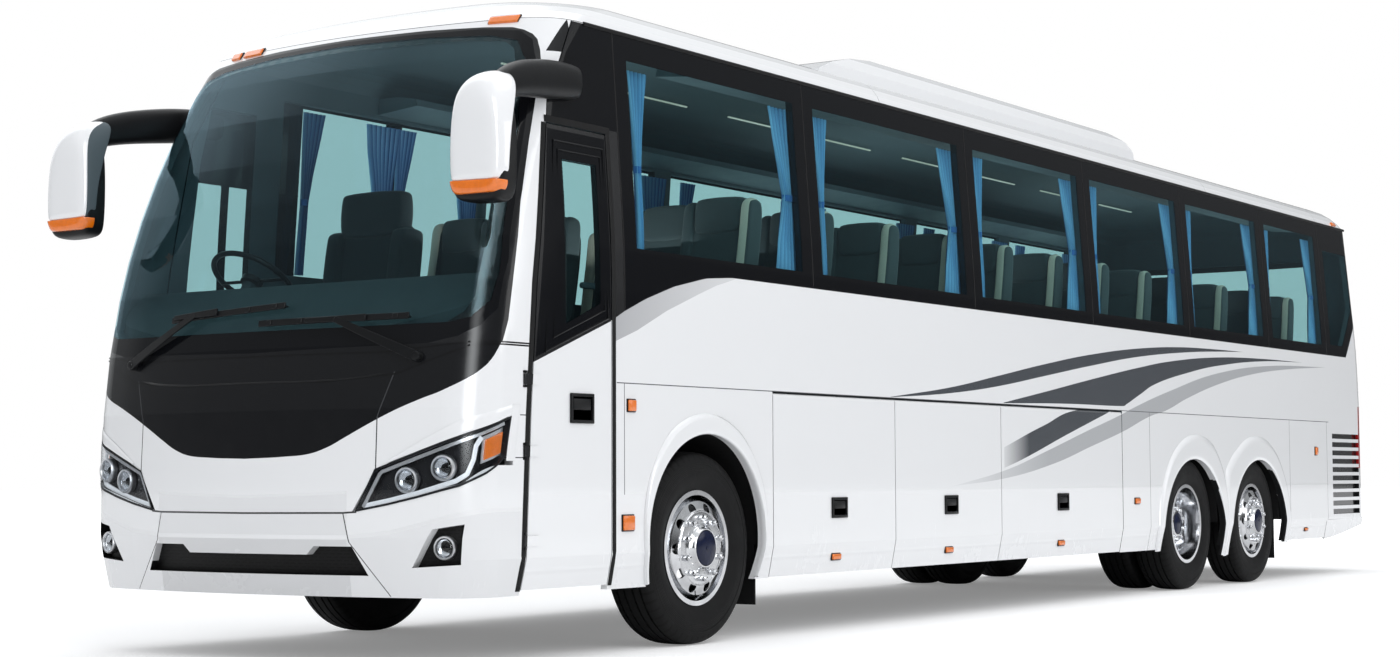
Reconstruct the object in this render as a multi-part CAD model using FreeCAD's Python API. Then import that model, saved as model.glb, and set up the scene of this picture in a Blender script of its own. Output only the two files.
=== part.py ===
"""Three-axle touring coach, right-hand drive, with its passenger door at the front left.

Frame: +Z up, ground at Z = 0, the coach's nose towards -Y and its left side towards +X, in millimetres.
The origin is on the ground at the middle of the coach's length and width.
Positions along the coach are written from the front axle (a "station") and moved by FRONT_AXLE_Y.
"""
import FreeCAD, Part
import math
import os

V = FreeCAD.Vector
os.makedirs("parts", exist_ok=True)

# ---- driving dimensions -------------------------------------------------------------------------
LENGTH = 13300.0            # bumper to bumper, on the centre line
HALF_WIDTH = 1275.0         # side skin, without mirrors
FRONT_OVERHANG = 2100.0     # front axle to the nose
WHEELBASE = 6820.0          # front axle to drive axle
TAG_SPACING = 1420.0        # drive axle to tag axle
FRONT_AXLE_Y = -LENGTH / 2 + FRONT_OVERHANG
REAR_STATION = LENGTH - FRONT_OVERHANG
TAG = WHEELBASE + TAG_SPACING

SKIRT_Z = 325.0             # lower edge of the body
TUCK_Z = 500.0              # below this the sides draw in
TUCK = 35.0                 # how far the sides draw in at the lower edge
TAIL_LOW_Z = 460.0          # lower edge of the tail
BUMPER_Z = 712.0            # split between bumper and front mask
SEAM_Z = 1345.0             # top of the luggage doors and of the cabin floor
SCREEN_Z = 1500.0           # lower edge of the windscreen glass
BAND_Z = 1945.0             # lower edge of the dark glazing band
GLASS_LOW_Z = 2030.0        # clear glass, lower edge
GLASS_TOP_Z = 3010.0        # clear glass, upper edge
ROOF_EDGE_Z = 3130.0        # top of the glazing band, where the roof starts
ROOF_Z = 3377.0             # crown of the roof

WALL = 50.0                 # side wall, roof and nose shells
DOOR_SKIN = 38.0            # luggage doors and skirts
DOOR_WALL = 45.0            # passenger door
GLASS = 6.0                 # bonded panes
PANEL_GAP = 8.0             # joint between neighbouring panels
HALF_GAP = PANEL_GAP / 2
FLOOR = 55.0                # cabin floor thickness

# side section: upright, then a long easing arc, then a straight lean up to the roof edge
EASE_Z = 1800.0
EASE_RADIUS = 6000.0
LEAN = math.radians(4.1)
ROOF_SHOULDER = 170.0       # how far the roof corner's arc draws in
SHOULDER_Z = 3290.0         # top of the roof corner's arc

# nose: a bowed front with rounded corners, upright below NOSE_Z and swept back above it
NOSE_BOW = 4500.0
NOSE_CORNER = 230.0
NOSE_Z = 900.0
RAKE_RADIUS = 3800.0
CHIN_Z = 600.0
CHIN_SLOPE = 0.15
BROW_SLOPE = 0.5
BROW_DEPTH = 950.0

# tail
TAIL_BOW = 6000.0
TAIL_LEAN_Z = 1500.0
TAIL_SLOPE = 0.08
TAIL_BROW_SLOPE = 0.3
TAIL_BROW_DEPTH = 420.0
TAIL_STATION = 10040.0      # split between the sides and the tail

# the line where the nose panels stop, as (station, Z): the passenger door's front edge follows it
NOSE_LINE = [(-1552.0, 300.0), (-1507.0, 1180.0), (-1460.0, 1810.0), (-1320.0, 2700.0), (-1060.0, 3160.0)]
DOOR_BACK = -850.0
DOOR_LOW_Z = 350.0
DOOR_TOP_Z = 2580.0
DOOR_HINGE_STATION = -1552.0

# luggage doors between two stations
LUGGAGE = [(660.0, 2050.0), (2050.0, 3480.0), (3480.0, 5450.0)]
FENDER_BACK = 660.0
REAR_SKIRT = 5450.0
# dividers between the bonded side panes
DIVIDERS = [-740.0, 1110.0, 3140.0, 4980.0, 6800.0, 8560.0, 10040.0]
PANE_GAP = 12.0
PILLAR = 100.0              # the opening in the wall starts this far from a divider

# wheels
TYRE_RADIUS = 506.0
TYRE_HALF = 138.0
WHEEL_X = 1092.0            # middle plane of the outer tyres
TWIN_PITCH = 312.0          # between the two tyres of a twin wheel
FLANGE_RADIUS = 302.0
SEAT_RADIUS = 286.0         # tyre bead seat
BARREL = 9.0
RIM_HALF = 111.0
FLANGE = 7.0
HAND_HOLES = 10
HAND_HOLE_RADIUS = 29.0
HAND_HOLE_CIRCLE = 212.0
STUB_RADIUS = 45.0
RUNNING = 0.1               # radial clearance of a wheel on its stub and of a kingpin in its eye
KINGPIN_X = 960.0
KINGPIN_RADIUS = 30.0
FRONT_ARCH = 560.0
FRONT_ARCH_Z = 548.0
REAR_ARCH = 650.0
REAR_ARCH_Z = 360.0
HOUSE_RADIUS = 600.0        # wheel housings, inside
REAR_HOUSE_RADIUS = 578.0
LINER = 10.0
HOUSE_X = 610.0             # inner wall of the wheel housings


def y_at(station):
    return FRONT_AXLE_Y + station


def box(x0, x1, s0, s1, z0, z1):
    """A box between two X, two stations and two heights."""
    return Part.makeBox(x1 - x0, s1 - s0, z1 - z0, V(x0, y_at(s0), z0))


def tube_x(x0, x1, station, z, radius):
    """A cylinder across the coach."""
    return Part.makeCylinder(radius, x1 - x0, V(x0, y_at(station), z), V(1, 0, 0))


def post(x, station, z0, z1, radius):
    """An upright cylinder."""
    return Part.makeCylinder(radius, z1 - z0, V(x, y_at(station), z0), V(0, 0, 1))


def prism_x(points, x0, x1):
    """Outline of (station, Z) points, extruded across the coach."""
    pts = [V(x0, y_at(s), z) for s, z in points]
    return Part.Face(Part.makePolygon(pts + pts[:1])).extrude(V(x1 - x0, 0, 0))


def prism_y(points, s0, s1):
    """Outline of (X, Z) points, extruded along the coach."""
    pts = [V(x, y_at(s0), z) for x, z in points]
    return Part.Face(Part.makePolygon(pts + pts[:1])).extrude(V(0, s1 - s0, 0))


def fuse(shapes):
    shapes = list(shapes)
    if len(shapes) == 1:
        return shapes[0]
    return shapes[0].multiFuse(shapes[1:]).removeSplitter()


def cut(shape, tools):
    tools = list(tools)
    return shape.cut(tools) if tools else shape


def mirror(shape):
    return shape.mirror(V(0, 0, 0), V(1, 0, 0))


def both(shape):
    """The left-hand piece and its right-hand twin, as separate solids."""
    return Part.makeCompound([shape, mirror(shape)])


def save(name, shape):
    solids = shape.Solids
    whole = Part.makeCompound(solids) if len(solids) > 1 else solids[0]
    whole.exportStep("parts/" + name + ".step")
    print(name, len(solids), whole.isValid(), round(whole.Volume / 1e9, 4))


# ---- the body's outline at each height -----------------------------------------------------------
EASE_TOP = EASE_Z + EASE_RADIUS * math.sin(LEAN)
EASE_X = HALF_WIDTH - EASE_RADIUS * (1 - math.cos(LEAN))
ROOF_EDGE_X = EASE_X - (ROOF_EDGE_Z - EASE_TOP) * math.tan(LEAN)
ROOF_RISE = ROOF_Z - ROOF_EDGE_Z
CORNER_GROWTH = 120.0       # the plan corners double their radius over this rise above the roof edge
LEVELS = [TUCK_Z, CHIN_Z, NOSE_Z, 1200.0, SCREEN_Z, EASE_Z, 2010.0, EASE_TOP, 2450.0, 2700.0, 2930.0,
          ROOF_EDGE_Z, 3180.0, 3225.0, 3262.0, SHOULDER_Z, 3320.0, 3345.0, 3362.0]


def half_width(z):
    """Half width of the body's skin at a height."""
    if z <= TUCK_Z:
        return HALF_WIDTH - TUCK * (TUCK_Z - z) / (TUCK_Z - SKIRT_Z)
    if z <= EASE_Z:
        return HALF_WIDTH
    if z <= EASE_TOP:
        return HALF_WIDTH - EASE_RADIUS + math.sqrt(EASE_RADIUS ** 2 - (z - EASE_Z) ** 2)
    if z <= ROOF_EDGE_Z:
        return EASE_X - (z - EASE_TOP) * math.tan(LEAN)
    shoulder_x = ROOF_EDGE_X - ROOF_SHOULDER
    if z <= SHOULDER_Z:
        t = (z - ROOF_EDGE_Z) / (SHOULDER_Z - ROOF_EDGE_Z)
        return ROOF_EDGE_X - ROOF_SHOULDER * (0.25 * t + 0.75 * (1 - math.sqrt(1 - 0.96 * t * t)) / 0.8)
    t = min(1.0, (z - SHOULDER_Z) / (ROOF_Z - SHOULDER_Z))
    return shoulder_x * math.sqrt(1 - t)


def brow(z, slope, depth):
    """How far the nose or tail draws in above the roof edge."""
    rise = min(1.0, (z - ROOF_EDGE_Z) / ROOF_RISE)
    return slope * (z - ROOF_EDGE_Z) + depth * (1 - math.sqrt(1 - rise ** 2))


def nose_station(z):
    """Station of the nose's centre line at a height."""
    if z <= CHIN_Z:
        return -FRONT_OVERHANG + (CHIN_Z - z) * CHIN_SLOPE
    if z <= NOSE_Z:
        return -FRONT_OVERHANG
    swept = min(z, ROOF_EDGE_Z) - NOSE_Z
    end = -FRONT_OVERHANG + RAKE_RADIUS - math.sqrt(RAKE_RADIUS ** 2 - swept ** 2)
    return end if z <= ROOF_EDGE_Z else end + brow(z, BROW_SLOPE, BROW_DEPTH)


def tail_station(z):
    """Station of the tail's centre line at a height."""
    if z <= TAIL_LEAN_Z:
        return REAR_STATION
    end = REAR_STATION - (min(z, ROOF_EDGE_Z) - TAIL_LEAN_Z) * TAIL_SLOPE
    return end if z <= ROOF_EDGE_Z else end - brow(z, TAIL_BROW_SLOPE, TAIL_BROW_DEPTH)


def end_points(w, end, corner, bow, sign):
    """Points of a bowed end with two rounded corners, from +X to -X, as (X, station)."""
    cx = w - corner
    centre = end + sign * bow
    cs = centre - sign * math.sqrt((bow - corner) ** 2 - cx ** 2)
    ux, us = cx / (bow - corner), (cs - centre) / (bow - corner)
    tip_x, tip_s = bow * ux, centre + bow * us
    norm = math.hypot(1 + ux, us)
    mid_x, mid_s = cx + corner * (1 + ux) / norm, cs + corner * us / norm
    right = [(w, cs), (mid_x, mid_s), (tip_x, tip_s)]
    return right + [(0.0, end)] + [(-x, s) for x, s in reversed(right)]


def outline(z, inset):
    """Closed outline of the body at a height, drawn in by inset."""
    w = half_width(z) - inset
    above = max(0.0, z - ROOF_EDGE_Z)
    corner = min((NOSE_CORNER - inset) * (1 + above / CORNER_GROWTH), 0.7 * w)
    level = z - above * inset / ROOF_RISE
    nose = end_points(w, nose_station(z) + inset, corner, NOSE_BOW - inset, 1)
    tail = end_points(w, tail_station(z) - inset, corner, TAIL_BOW - inset, -1)
    nose = [V(x, y_at(s), level) for x, s in nose]
    tail = [V(x, y_at(s), level) for x, s in tail]
    edges = []
    for pts in (nose, tail):
        edges += [Part.Arc(*pts[i:i + 3]).toShape() for i in (0, 2, 4)]
    edges.insert(3, Part.makeLine(nose[6], tail[6]))
    tail_edges = edges[4:]
    edges = edges[:4] + [e for e in reversed(tail_edges)]
    edges.append(Part.makeLine(tail[0], nose[0]))
    return Part.Wire(edges)


def body(z0, z1, inset=0.0):
    """Solid of the body's outline between two heights, drawn in by inset."""
    heights = [z0] + [z for z in LEVELS if z0 + 1 < z < z1 - 1] + [z1]
    return Part.makeLoft([outline(z, inset) for z in heights], True, True)


def skin(z0, z1, inset0, inset1):
    """Shell of the body between two insets."""
    return body(z0, z1, inset0).cut(body(z0, z1, inset1))


def between(z0, z1, inset):
    """The body's inside between two heights, shaped on the same levels as the side walls and the nose."""
    return body(BUMPER_Z, ROOF_EDGE_Z, inset).common(box(-WIDE, WIDE, -FRONT_OVERHANG, REAR_STATION, z0, z1))


def ahead_of_nose_line(shift=0.0):
    """Everything in front of the nose line, moved back by shift."""
    pts = [(s + shift, z) for s, z in NOSE_LINE]
    low, high = NOSE_LINE[0][1], NOSE_LINE[-1][1]
    front = -FRONT_OVERHANG - WALL
    return prism_x([(front, low)] + pts + [(front, high)], -2 * HALF_WIDTH, 2 * HALF_WIDTH)


# ---- body shell ---------------------------------------------------------------------------------
TOP_Z = ROOF_Z - 3.0
WIDE = 2 * HALF_WIDTH
TAIL_END = REAR_STATION + WALL
BEHIND_TAIL_LINE = box(-WIDE, WIDE, TAIL_STATION, TAIL_END, 0, ROOF_Z)
# windscreen outline from the front, as (X, Z)
SCREEN_SIDE = [(0.0, 1480.0), (1010.0, 1500.0), (1150.0, 1530.0), (1225.0, 1580.0), (1262.0, 1660.0),
               (1266.0, 1900.0), (1250.0, 2180.0), (1222.0, 2469.0), (1192.0, 2721.0), (1166.0, 2900.0),
               (1120.0, 3010.0), (1050.0, 3060.0), (840.0, 3085.0), (0.0, 3100.0)]
SCREEN = SCREEN_SIDE + [(-x, z) for x, z in SCREEN_SIDE[-2:0:-1]]
SCREEN_FRAME = 70.0         # black border of the windscreen that sits on its frame
SCREEN_BACK = -1000.0       # the windscreen ends ahead of this station
# lamps and vents from the front, left side, as (X, Z)
HEADLAMP = [(650.0, 722.0), (776.0, 914.0), (1300.0, 1172.0), (1300.0, 962.0), (1198.0, 850.0)]
HEADLAMP_BACK = -1640.0
FOG_RECESS = [(953.0, 464.0), (1067.0, 641.0), (1205.0, 664.0), (1183.0, 479.0)]
FOG_LAMP = (1110.0, 555.0, 55.0)
LAMP_DEPTH = 42.0
GRILLE = [(-722.0, 425.0), (722.0, 425.0), (645.0, 560.0), (430.0, 560.0), (385.0, 520.0),
          (-385.0, 520.0), (-430.0, 560.0), (-645.0, 560.0)]
# side glazing, as (station, Z): the front pane's lower edge sweeps down towards the door
SWEEP = [(-734.0, 1712.0), (-560.0, 1780.0), (-300.0, 1862.0), (0.0, 1925.0), (250.0, BAND_Z)]
DRIVER_PANE = [(-1440.0, 1480.0), (-1180.0, 1500.0), (-746.0, 1706.0), (-746.0, ROOF_EDGE_Z - 6),
               (-1000.0, ROOF_EDGE_Z - 6), (-1140.0, 2960.0), (-1270.0, 2730.0)]
DRIVER_WINDOW = [(-1330.0, 1600.0), (-1160.0, 1610.0), (-850.0, 1770.0), (-850.0, 2900.0),
                 (-1190.0, 2900.0), (-1250.0, 2600.0)]
DOOR_BROW = [(-1295.0, DOOR_TOP_Z + 30), (-746.0, DOOR_TOP_Z + 30), (-746.0, ROOF_EDGE_Z - 6),
             (-1000.0, ROOF_EDGE_Z - 6), (-1140.0, 2960.0), (-1265.0, 2730.0)]
DOOR_PANE = [(-1470.0, 1445.0), (-862.0, 1660.0), (-862.0, 2560.0), (-1330.0, 2560.0)]
DOOR_WINDOW = [(-1215.0, 1570.0), (-930.0, 1700.0), (-930.0, 2420.0), (-1215.0, 2420.0)]
QUARTER_PANE = [(10052.0, BAND_Z), (10560.0, BAND_Z), (11000.0, 2380.0), (11000.0, 2500.0),
                (10860.0, ROOF_EDGE_Z - 6), (10052.0, ROOF_EDGE_Z - 6)]
QUARTER_WINDOW = [(10150.0, GLASS_LOW_Z), (10500.0, GLASS_LOW_Z), (10830.0, 2400.0), (10780.0, 2900.0),
                  (10150.0, 2900.0)]
REAR_WINDOW = (880.0, 2000.0, 2880.0)   # half width, lower and upper edge
ENGINE_LID_TOP = 1480.0
ENGINE_LID = (860.0, 690.0, ENGINE_LID_TOP)
TAIL_LAMP = (940.0, 1230.0, 940.0, 1500.0)
LOUVRES = (10130.0, 10870.0, 530.0, 1275.0, 10)
LOUVRE_DEPTH = 30.0


def side_pane_outlines():
    """Outlines of the six bonded panes behind the door, front to back."""
    top = ROOF_EDGE_Z - PANE_GAP / 2
    half = PANE_GAP / 2
    panes = []
    for front, back in zip(DIVIDERS, DIVIDERS[1:]):
        low = [(front + half, BAND_Z)] if front > 0 else SWEEP
        panes.append(low + [(back - half, BAND_Z), (back - half, top), (front + half, top)])
    return panes


def side_window_outlines():
    """Outlines of the six openings in a side wall."""
    windows = []
    for front, back in zip(DIVIDERS, DIVIDERS[1:]):
        s0, s1 = front + PILLAR, back - PILLAR
        windows.append([(s0, GLASS_LOW_Z), (s1, GLASS_LOW_Z), (s1, GLASS_TOP_Z), (s0, GLASS_TOP_Z)])
    return windows


def glass_layer():
    """Outer layer of the body at the height of the side windows, one pane thick."""
    return skin(BUMPER_Z, ROOF_EDGE_Z, 0, GLASS)


def door_zone(gap):
    """What the passenger door leaves out of the left side."""
    return box(0, WIDE, NOSE_LINE[0][0], DOOR_BACK, 0, DOOR_TOP_Z + gap)


LAYER = glass_layer()
SIDE_PANES = [prism_x(pts, 0, WIDE) for pts in side_pane_outlines()]
SIDE_WINDOWS = [prism_x(pts, 0, WIDE) for pts in side_window_outlines()]
NOSE = ahead_of_nose_line()
NOSE_AND_GAP = ahead_of_nose_line(PANEL_GAP)


def build_roof():
    shell = body(ROOF_EDGE_Z, TOP_Z).cut(body(ROOF_EDGE_Z, TOP_Z, WALL))
    save("roof_panel", shell)


def build_side_walls():
    shell = skin(SEAM_Z, ROOF_EDGE_Z, 0, WALL)
    middle = cut(shell, [BEHIND_TAIL_LINE, NOSE_AND_GAP, box(-WIDE, WIDE, -3000, 0, 0, SEAM_Z)])
    left = middle.common(box(0, WIDE, -2000, TAIL_STATION, 0, ROOF_Z))
    left_panes = [LAYER.common(p) for p in SIDE_PANES + [prism_x(DOOR_BROW, 0, WIDE)]]
    left = cut(left, [door_zone(PANEL_GAP)] + left_panes + SIDE_WINDOWS)
    right = middle.common(box(-WIDE, 0, -2000, TAIL_STATION, 0, ROOF_Z))
    right_panes = [mirror(p) for p in left_panes[:-1]]
    right_panes.append(LAYER.common(prism_x(DRIVER_PANE, -WIDE, 0)))
    windows = [mirror(w) for w in SIDE_WINDOWS] + [prism_x(DRIVER_WINDOW, -WIDE, 0)]
    right = cut(right, right_panes + windows)
    save("side_wall_left", left)
    save("side_wall_right", right)
    save("side_glass_left", Part.makeCompound(left_panes))
    save("side_glass_right", Part.makeCompound(right_panes))


def build_nose():
    screen_zone = prism_y(SCREEN, -FRONT_OVERHANG - WALL, SCREEN_BACK)
    frame = [(x * (1 - SCREEN_FRAME / HALF_WIDTH), SCREEN_Z + SCREEN_FRAME + (z - SCREEN_Z) * 0.92)
             for x, z in SCREEN]
    opening = prism_y(frame, -FRONT_OVERHANG - WALL, 0)
    lamp = prism_y(HEADLAMP, -FRONT_OVERHANG - WALL, HEADLAMP_BACK)
    lamps = [lamp, mirror(lamp)]
    shell = skin(BUMPER_Z, ROOF_EDGE_Z, 0, WALL).common(NOSE)
    pane = LAYER.common(screen_zone).common(NOSE)
    below = box(-WIDE, WIDE, -3000, 0, 0, SCREEN_Z - 60)
    upper = cut(shell, [pane, opening, below])
    mask = cut(shell.common(below), lamps + [pane] + door_pockets())
    save("screen_surround", upper)
    save("front_mask", mask)
    save("windscreen", pane)
    bumper = skin(SKIRT_Z, BUMPER_Z, 0, WALL).common(NOSE)
    grille = prism_y(GRILLE, -FRONT_OVERHANG - WALL, -1700)
    recess = prism_y(FOG_RECESS, -FRONT_OVERHANG - WALL, -1700)
    slab = skin(SKIRT_Z, BUMPER_Z, LAMP_DEPTH, WALL)
    bumper = cut(bumper, [grille, recess, mirror(recess)] + lamps + door_pockets())
    save("front_bumper", bumper)
    mesh = slab.common(fuse([grille]))
    fog_bed = slab.common(recess)
    fog_x, fog_z, fog_r = FOG_LAMP
    fog_hole = Part.makeCylinder(fog_r, 600, V(fog_x, y_at(-FRONT_OVERHANG), fog_z), V(0, 1, 0))
    save("front_grille", Part.makeCompound([mesh, fog_bed, mirror(fog_bed)]))
    fog = skin(SKIRT_Z, BUMPER_Z, LAMP_DEPTH - 25, LAMP_DEPTH).common(fog_hole)
    fog = fog.common(box(0, WIDE, -FRONT_OVERHANG, -1700, 0, BUMPER_Z))
    head = skin(SKIRT_Z, SEAM_Z, 2.0, WALL - 8).common(lamp).common(NOSE)
    save("front_lamps", Part.makeCompound([head, mirror(head), fog, mirror(fog)]))


def build_door():
    line = [(s + PANEL_GAP, z) for s, z in NOSE_LINE if z < DOOR_TOP_Z]
    (s0, z0), (s1, z1) = NOSE_LINE[2], NOSE_LINE[3]
    top_s = s0 + (s1 - s0) * (DOOR_TOP_Z - z0) / (z1 - z0) + PANEL_GAP
    low_s = line[0][0] + (line[1][0] - line[0][0]) * (DOOR_LOW_Z - line[0][1]) / (line[1][1] - line[0][1])
    back = DOOR_BACK - PANEL_GAP
    pts = [(low_s, DOOR_LOW_Z)] + line[1:] + [(top_s, DOOR_TOP_Z), (back, DOOR_TOP_Z), (back, DOOR_LOW_Z)]
    zone = prism_x(pts, 0, WIDE)
    panel = skin(DOOR_LOW_Z, DOOR_TOP_Z, 0, DOOR_WALL).common(zone)
    pane = LAYER.common(prism_x(DOOR_PANE, 0, WIDE)).common(zone)
    panel = cut(panel, [pane, prism_x(DOOR_WINDOW, 0, WIDE)])
    panel = fuse([panel] + [door_strap(z) for z in DOOR_HINGES])
    save("passenger_door", panel)
    save("door_glass", pane)


def arch(station, radius, z, x0=0.0, x1=WIDE):
    return tube_x(x0, x1, station, z, radius)


LID_HINGE_X = HALF_WIDTH - DOOR_SKIN / 2    # luggage door hinge line, in the middle of its skin
LID_HINGE_Z = SEAM_Z - 27.0
LID_PIN = 5.0               # hinge pin radius
LID_PIN_HALF = 39.0         # half its length
LUG = (4.0, 5.0, 6.0)       # hinge lug: half width, half thickness, eye radius
SLOT = (9.0, 12.0, 14.0)    # slot in the door round a lug: half width, outwards, downwards
PIN_GAP = 0.05
HINGE_INSET = 160.0         # outer hinges from the ends of a luggage door


def lid_hinges(s0, s1):
    return (s0 + HINGE_INSET, (s0 + s1) / 2, s1 - HINGE_INSET)


def rod_y(x, station, z, half, radius):
    """A cylinder along the coach, centred on a station."""
    return Part.makeCylinder(radius, 2 * half, V(x, y_at(station - half), z), V(0, 1, 0))


def lid_slot(station):
    """Room in a luggage door for one hinge: a slot for the lug and a bore for the pin."""
    half, out, down = SLOT
    slot = box(0, LID_HINGE_X + out, station - half, station + half, LID_HINGE_Z - down, SEAM_Z)
    return fuse([slot, rod_y(LID_HINGE_X, station, LID_HINGE_Z, LID_PIN_HALF + PANEL_GAP, LID_PIN + PIN_GAP)])


def lid_hinge(station):
    """Lug on the edge of the deck, with its pin."""
    half, thick, eye = LUG
    lug = box(HALF_WIDTH - WALL + LEDGE, LID_HINGE_X, station - half, station + half,
              LID_HINGE_Z - thick, LID_HINGE_Z + thick)
    return fuse([lug, rod_y(LID_HINGE_X, station, LID_HINGE_Z, half, eye),
                 rod_y(LID_HINGE_X, station, LID_HINGE_Z, LID_PIN_HALF, LID_PIN)])


# passenger door hinges: axis, lower ends, and the pocket they sit in
DOOR_HINGE_X = HALF_WIDTH + 2.0
DOOR_HINGES = [540.0, 960.0, 1300.0]
DOOR_HINGE_TALL = 80.0
DOOR_HINGE_END = 10.0
DOOR_PIN = 3.45
DOOR_BARREL = 6.0
POCKET_X = HALF_WIDTH - 9.0
STRAP_BACK = -1450.0


def door_pockets():
    s = DOOR_HINGE_STATION
    return [box(POCKET_X, WIDE, s - 13, s + 90, z, z + DOOR_HINGE_TALL) for z in DOOR_HINGES]


def door_pin(z):
    """Pin between two blocks seated in the nose's pocket."""
    x, s = DOOR_HINGE_X, DOOR_HINGE_STATION
    ends = [box(POCKET_X, x + DOOR_BARREL, s - 7, s + 7, z0, z0 + DOOR_HINGE_END)
            for z0 in (z, z + DOOR_HINGE_TALL - DOOR_HINGE_END)]
    return fuse(ends + [post(x, s, z, z + DOOR_HINGE_TALL, DOOR_PIN)])


def door_strap(z):
    """Barrel round the pin, with a strap onto the door's outer face."""
    x, s = DOOR_HINGE_X, DOOR_HINGE_STATION
    z0, z1 = z + DOOR_HINGE_END + LEDGE, z + DOOR_HINGE_TALL - DOOR_HINGE_END - LEDGE
    strap = fuse([post(x, s, z0, z1, DOOR_BARREL), box(HALF_WIDTH, x + 4, s, STRAP_BACK, z0, z1)])
    return strap.cut(post(x, s, z, z + DOOR_HINGE_TALL, DOOR_PIN + PIN_GAP))


# engine lid hinges: axis and the X of each
TAIL_HINGE_STATION = REAR_STATION + 3.0
TAIL_HINGE_Z = ENGINE_LID_TOP + 4.0
TAIL_HINGES = (-400.0, 400.0)
TAIL_PIN = 4.0
TAIL_BARREL = 6.0
TAIL_STRAP = 30.0


def tail_pin(x):
    """Pin between two blocks seated on the tail above the engine lid."""
    s, z = TAIL_HINGE_STATION, TAIL_HINGE_Z
    ends = []
    for x0 in (x - TAIL_STRAP - 25, x + TAIL_STRAP + 5):
        ends.append(box(x0, x0 + 20, s - 60, s + TAIL_BARREL, z + 6, z + 26))
        ends.append(box(x0, x0 + 20, s - 7, s + TAIL_BARREL, z - 6, z + 26))
    return fuse(ends + [tube_x(x - TAIL_STRAP - 25, x + TAIL_STRAP + 25, s, z, TAIL_PIN)])


def tail_strap(x):
    """Barrel round the pin, with a strap onto the engine lid."""
    s, z = TAIL_HINGE_STATION, TAIL_HINGE_Z
    strap = fuse([tube_x(x - TAIL_STRAP, x + TAIL_STRAP, s, z, TAIL_BARREL),
                  box(x - TAIL_STRAP, x + TAIL_STRAP, s - 7, s, z - 70, z),
                  box(x - TAIL_STRAP, x + TAIL_STRAP, s - 40, s, z - 70, z - 40)])
    return strap.cut(tube_x(x - 100, x + 100, s, z, TAIL_PIN + PIN_GAP))


def build_hinges():
    lids = [lid_hinge(s) for s0, s1 in LUGGAGE for s in lid_hinges(s0, s1)]
    tail = skin(SEAM_Z, EASE_Z, 0, WALL)
    pieces = lids + [mirror(h) for h in lids] + [door_pin(z) for z in DOOR_HINGES]
    pieces += [tail_pin(x).cut(tail) for x in TAIL_HINGES]
    save("door_hinges", Part.makeCompound(pieces))


def build_skirts():
    shell = skin(SKIRT_Z, SEAM_Z, 0, DOOR_SKIN)
    arches = [arch(0, FRONT_ARCH, FRONT_ARCH_Z), arch(WHEELBASE, REAR_ARCH, REAR_ARCH_Z),
              arch(TAG, REAR_ARCH, REAR_ARCH_Z)]
    fender = shell.common(box(0, WIDE, DOOR_BACK, FENDER_BACK - HALF_GAP, 0, SEAM_Z))
    rear = shell.common(box(0, WIDE, REAR_SKIRT + HALF_GAP, TAIL_STATION, 0, SEAM_Z))
    driver_side = cut(shell.common(box(-WIDE, 0, -1800, FENDER_BACK - HALF_GAP, 0, SEAM_Z)), [NOSE_AND_GAP])
    arches_right = [mirror(a) for a in arches]
    save("skirt_left", Part.makeCompound([cut(fender, arches), cut(rear, arches)]))
    save("skirt_right", Part.makeCompound([cut(driver_side, arches_right), mirror(cut(rear, arches))]))
    for number, (s0, s1) in enumerate(LUGGAGE, 1):
        a, b = s0 + HALF_GAP, s1 - HALF_GAP
        door = shell.common(box(0, WIDE, a, b, SKIRT_Z + 5, LID_HINGE_Z))
        top = Part.makeCylinder(DOOR_SKIN / 2, b - a, V(LID_HINGE_X, y_at(a), LID_HINGE_Z), V(0, 1, 0))
        door = cut(fuse([door, top]), [lid_slot(s) for s in lid_hinges(s0, s1)])
        save("luggage_door_left_%d" % number, door)
        save("luggage_door_right_%d" % number, mirror(door))


def build_tail():
    upper = skin(SEAM_Z, ROOF_EDGE_Z, 0, WALL).common(BEHIND_TAIL_LINE)
    lower = skin(TAIL_LOW_Z, SEAM_Z, 0, WALL).common(BEHIND_TAIL_LINE)
    w, z0, z1 = REAR_WINDOW
    back = TAIL_STATION + 500
    rear_pane = LAYER.common(box(-w - 90, w + 90, back, TAIL_END, z0 - 90, z1 + 90))
    quarter = LAYER.common(prism_x(QUARTER_PANE, 0, WIDE))
    quarters = [quarter, mirror(quarter)]
    openings = [box(-w, w, back, TAIL_END, z0, z1), prism_x(QUARTER_WINDOW, -WIDE, WIDE)]
    lw, lz0, lz1 = ENGINE_LID
    lid_zone = box(-lw - PANEL_GAP, lw + PANEL_GAP, back, TAIL_END, lz0 - PANEL_GAP, lz1 + PANEL_GAP)
    x0, x1, tz0, tz1 = TAIL_LAMP
    lamp_zone = box(x0, WIDE, REAR_STATION - 330, TAIL_END, tz0, tz1)
    lamp_skin = skin(BUMPER_Z, EASE_Z, 0, 25).common(lamp_zone)
    s0, s1, v0, v1, count = LOUVRES
    step = (v1 - v0) / count
    slots = []
    for i in range(count):
        slot = box(HALF_WIDTH - LOUVRE_DEPTH, WIDE, s0, s1, v0 + i * step, v0 + (i + 0.6) * step)
        slots += [slot, mirror(slot)]
    taken = [rear_pane, lid_zone, lamp_skin, mirror(lamp_skin)] + quarters + openings + slots
    shell = cut(fuse([upper, lower]), taken)
    save("tail_panel", shell)
    save("tail_glass", Part.makeCompound([rear_pane] + quarters))
    save("tail_lamps", both(lamp_skin))
    lid = skin(BUMPER_Z - 100, SEAM_Z + 300, 0, DOOR_SKIN).common(box(-lw, lw, back, TAIL_END, lz0, lz1))
    save("engine_lid", fuse([lid] + [tail_strap(x) for x in TAIL_HINGES]))


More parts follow.
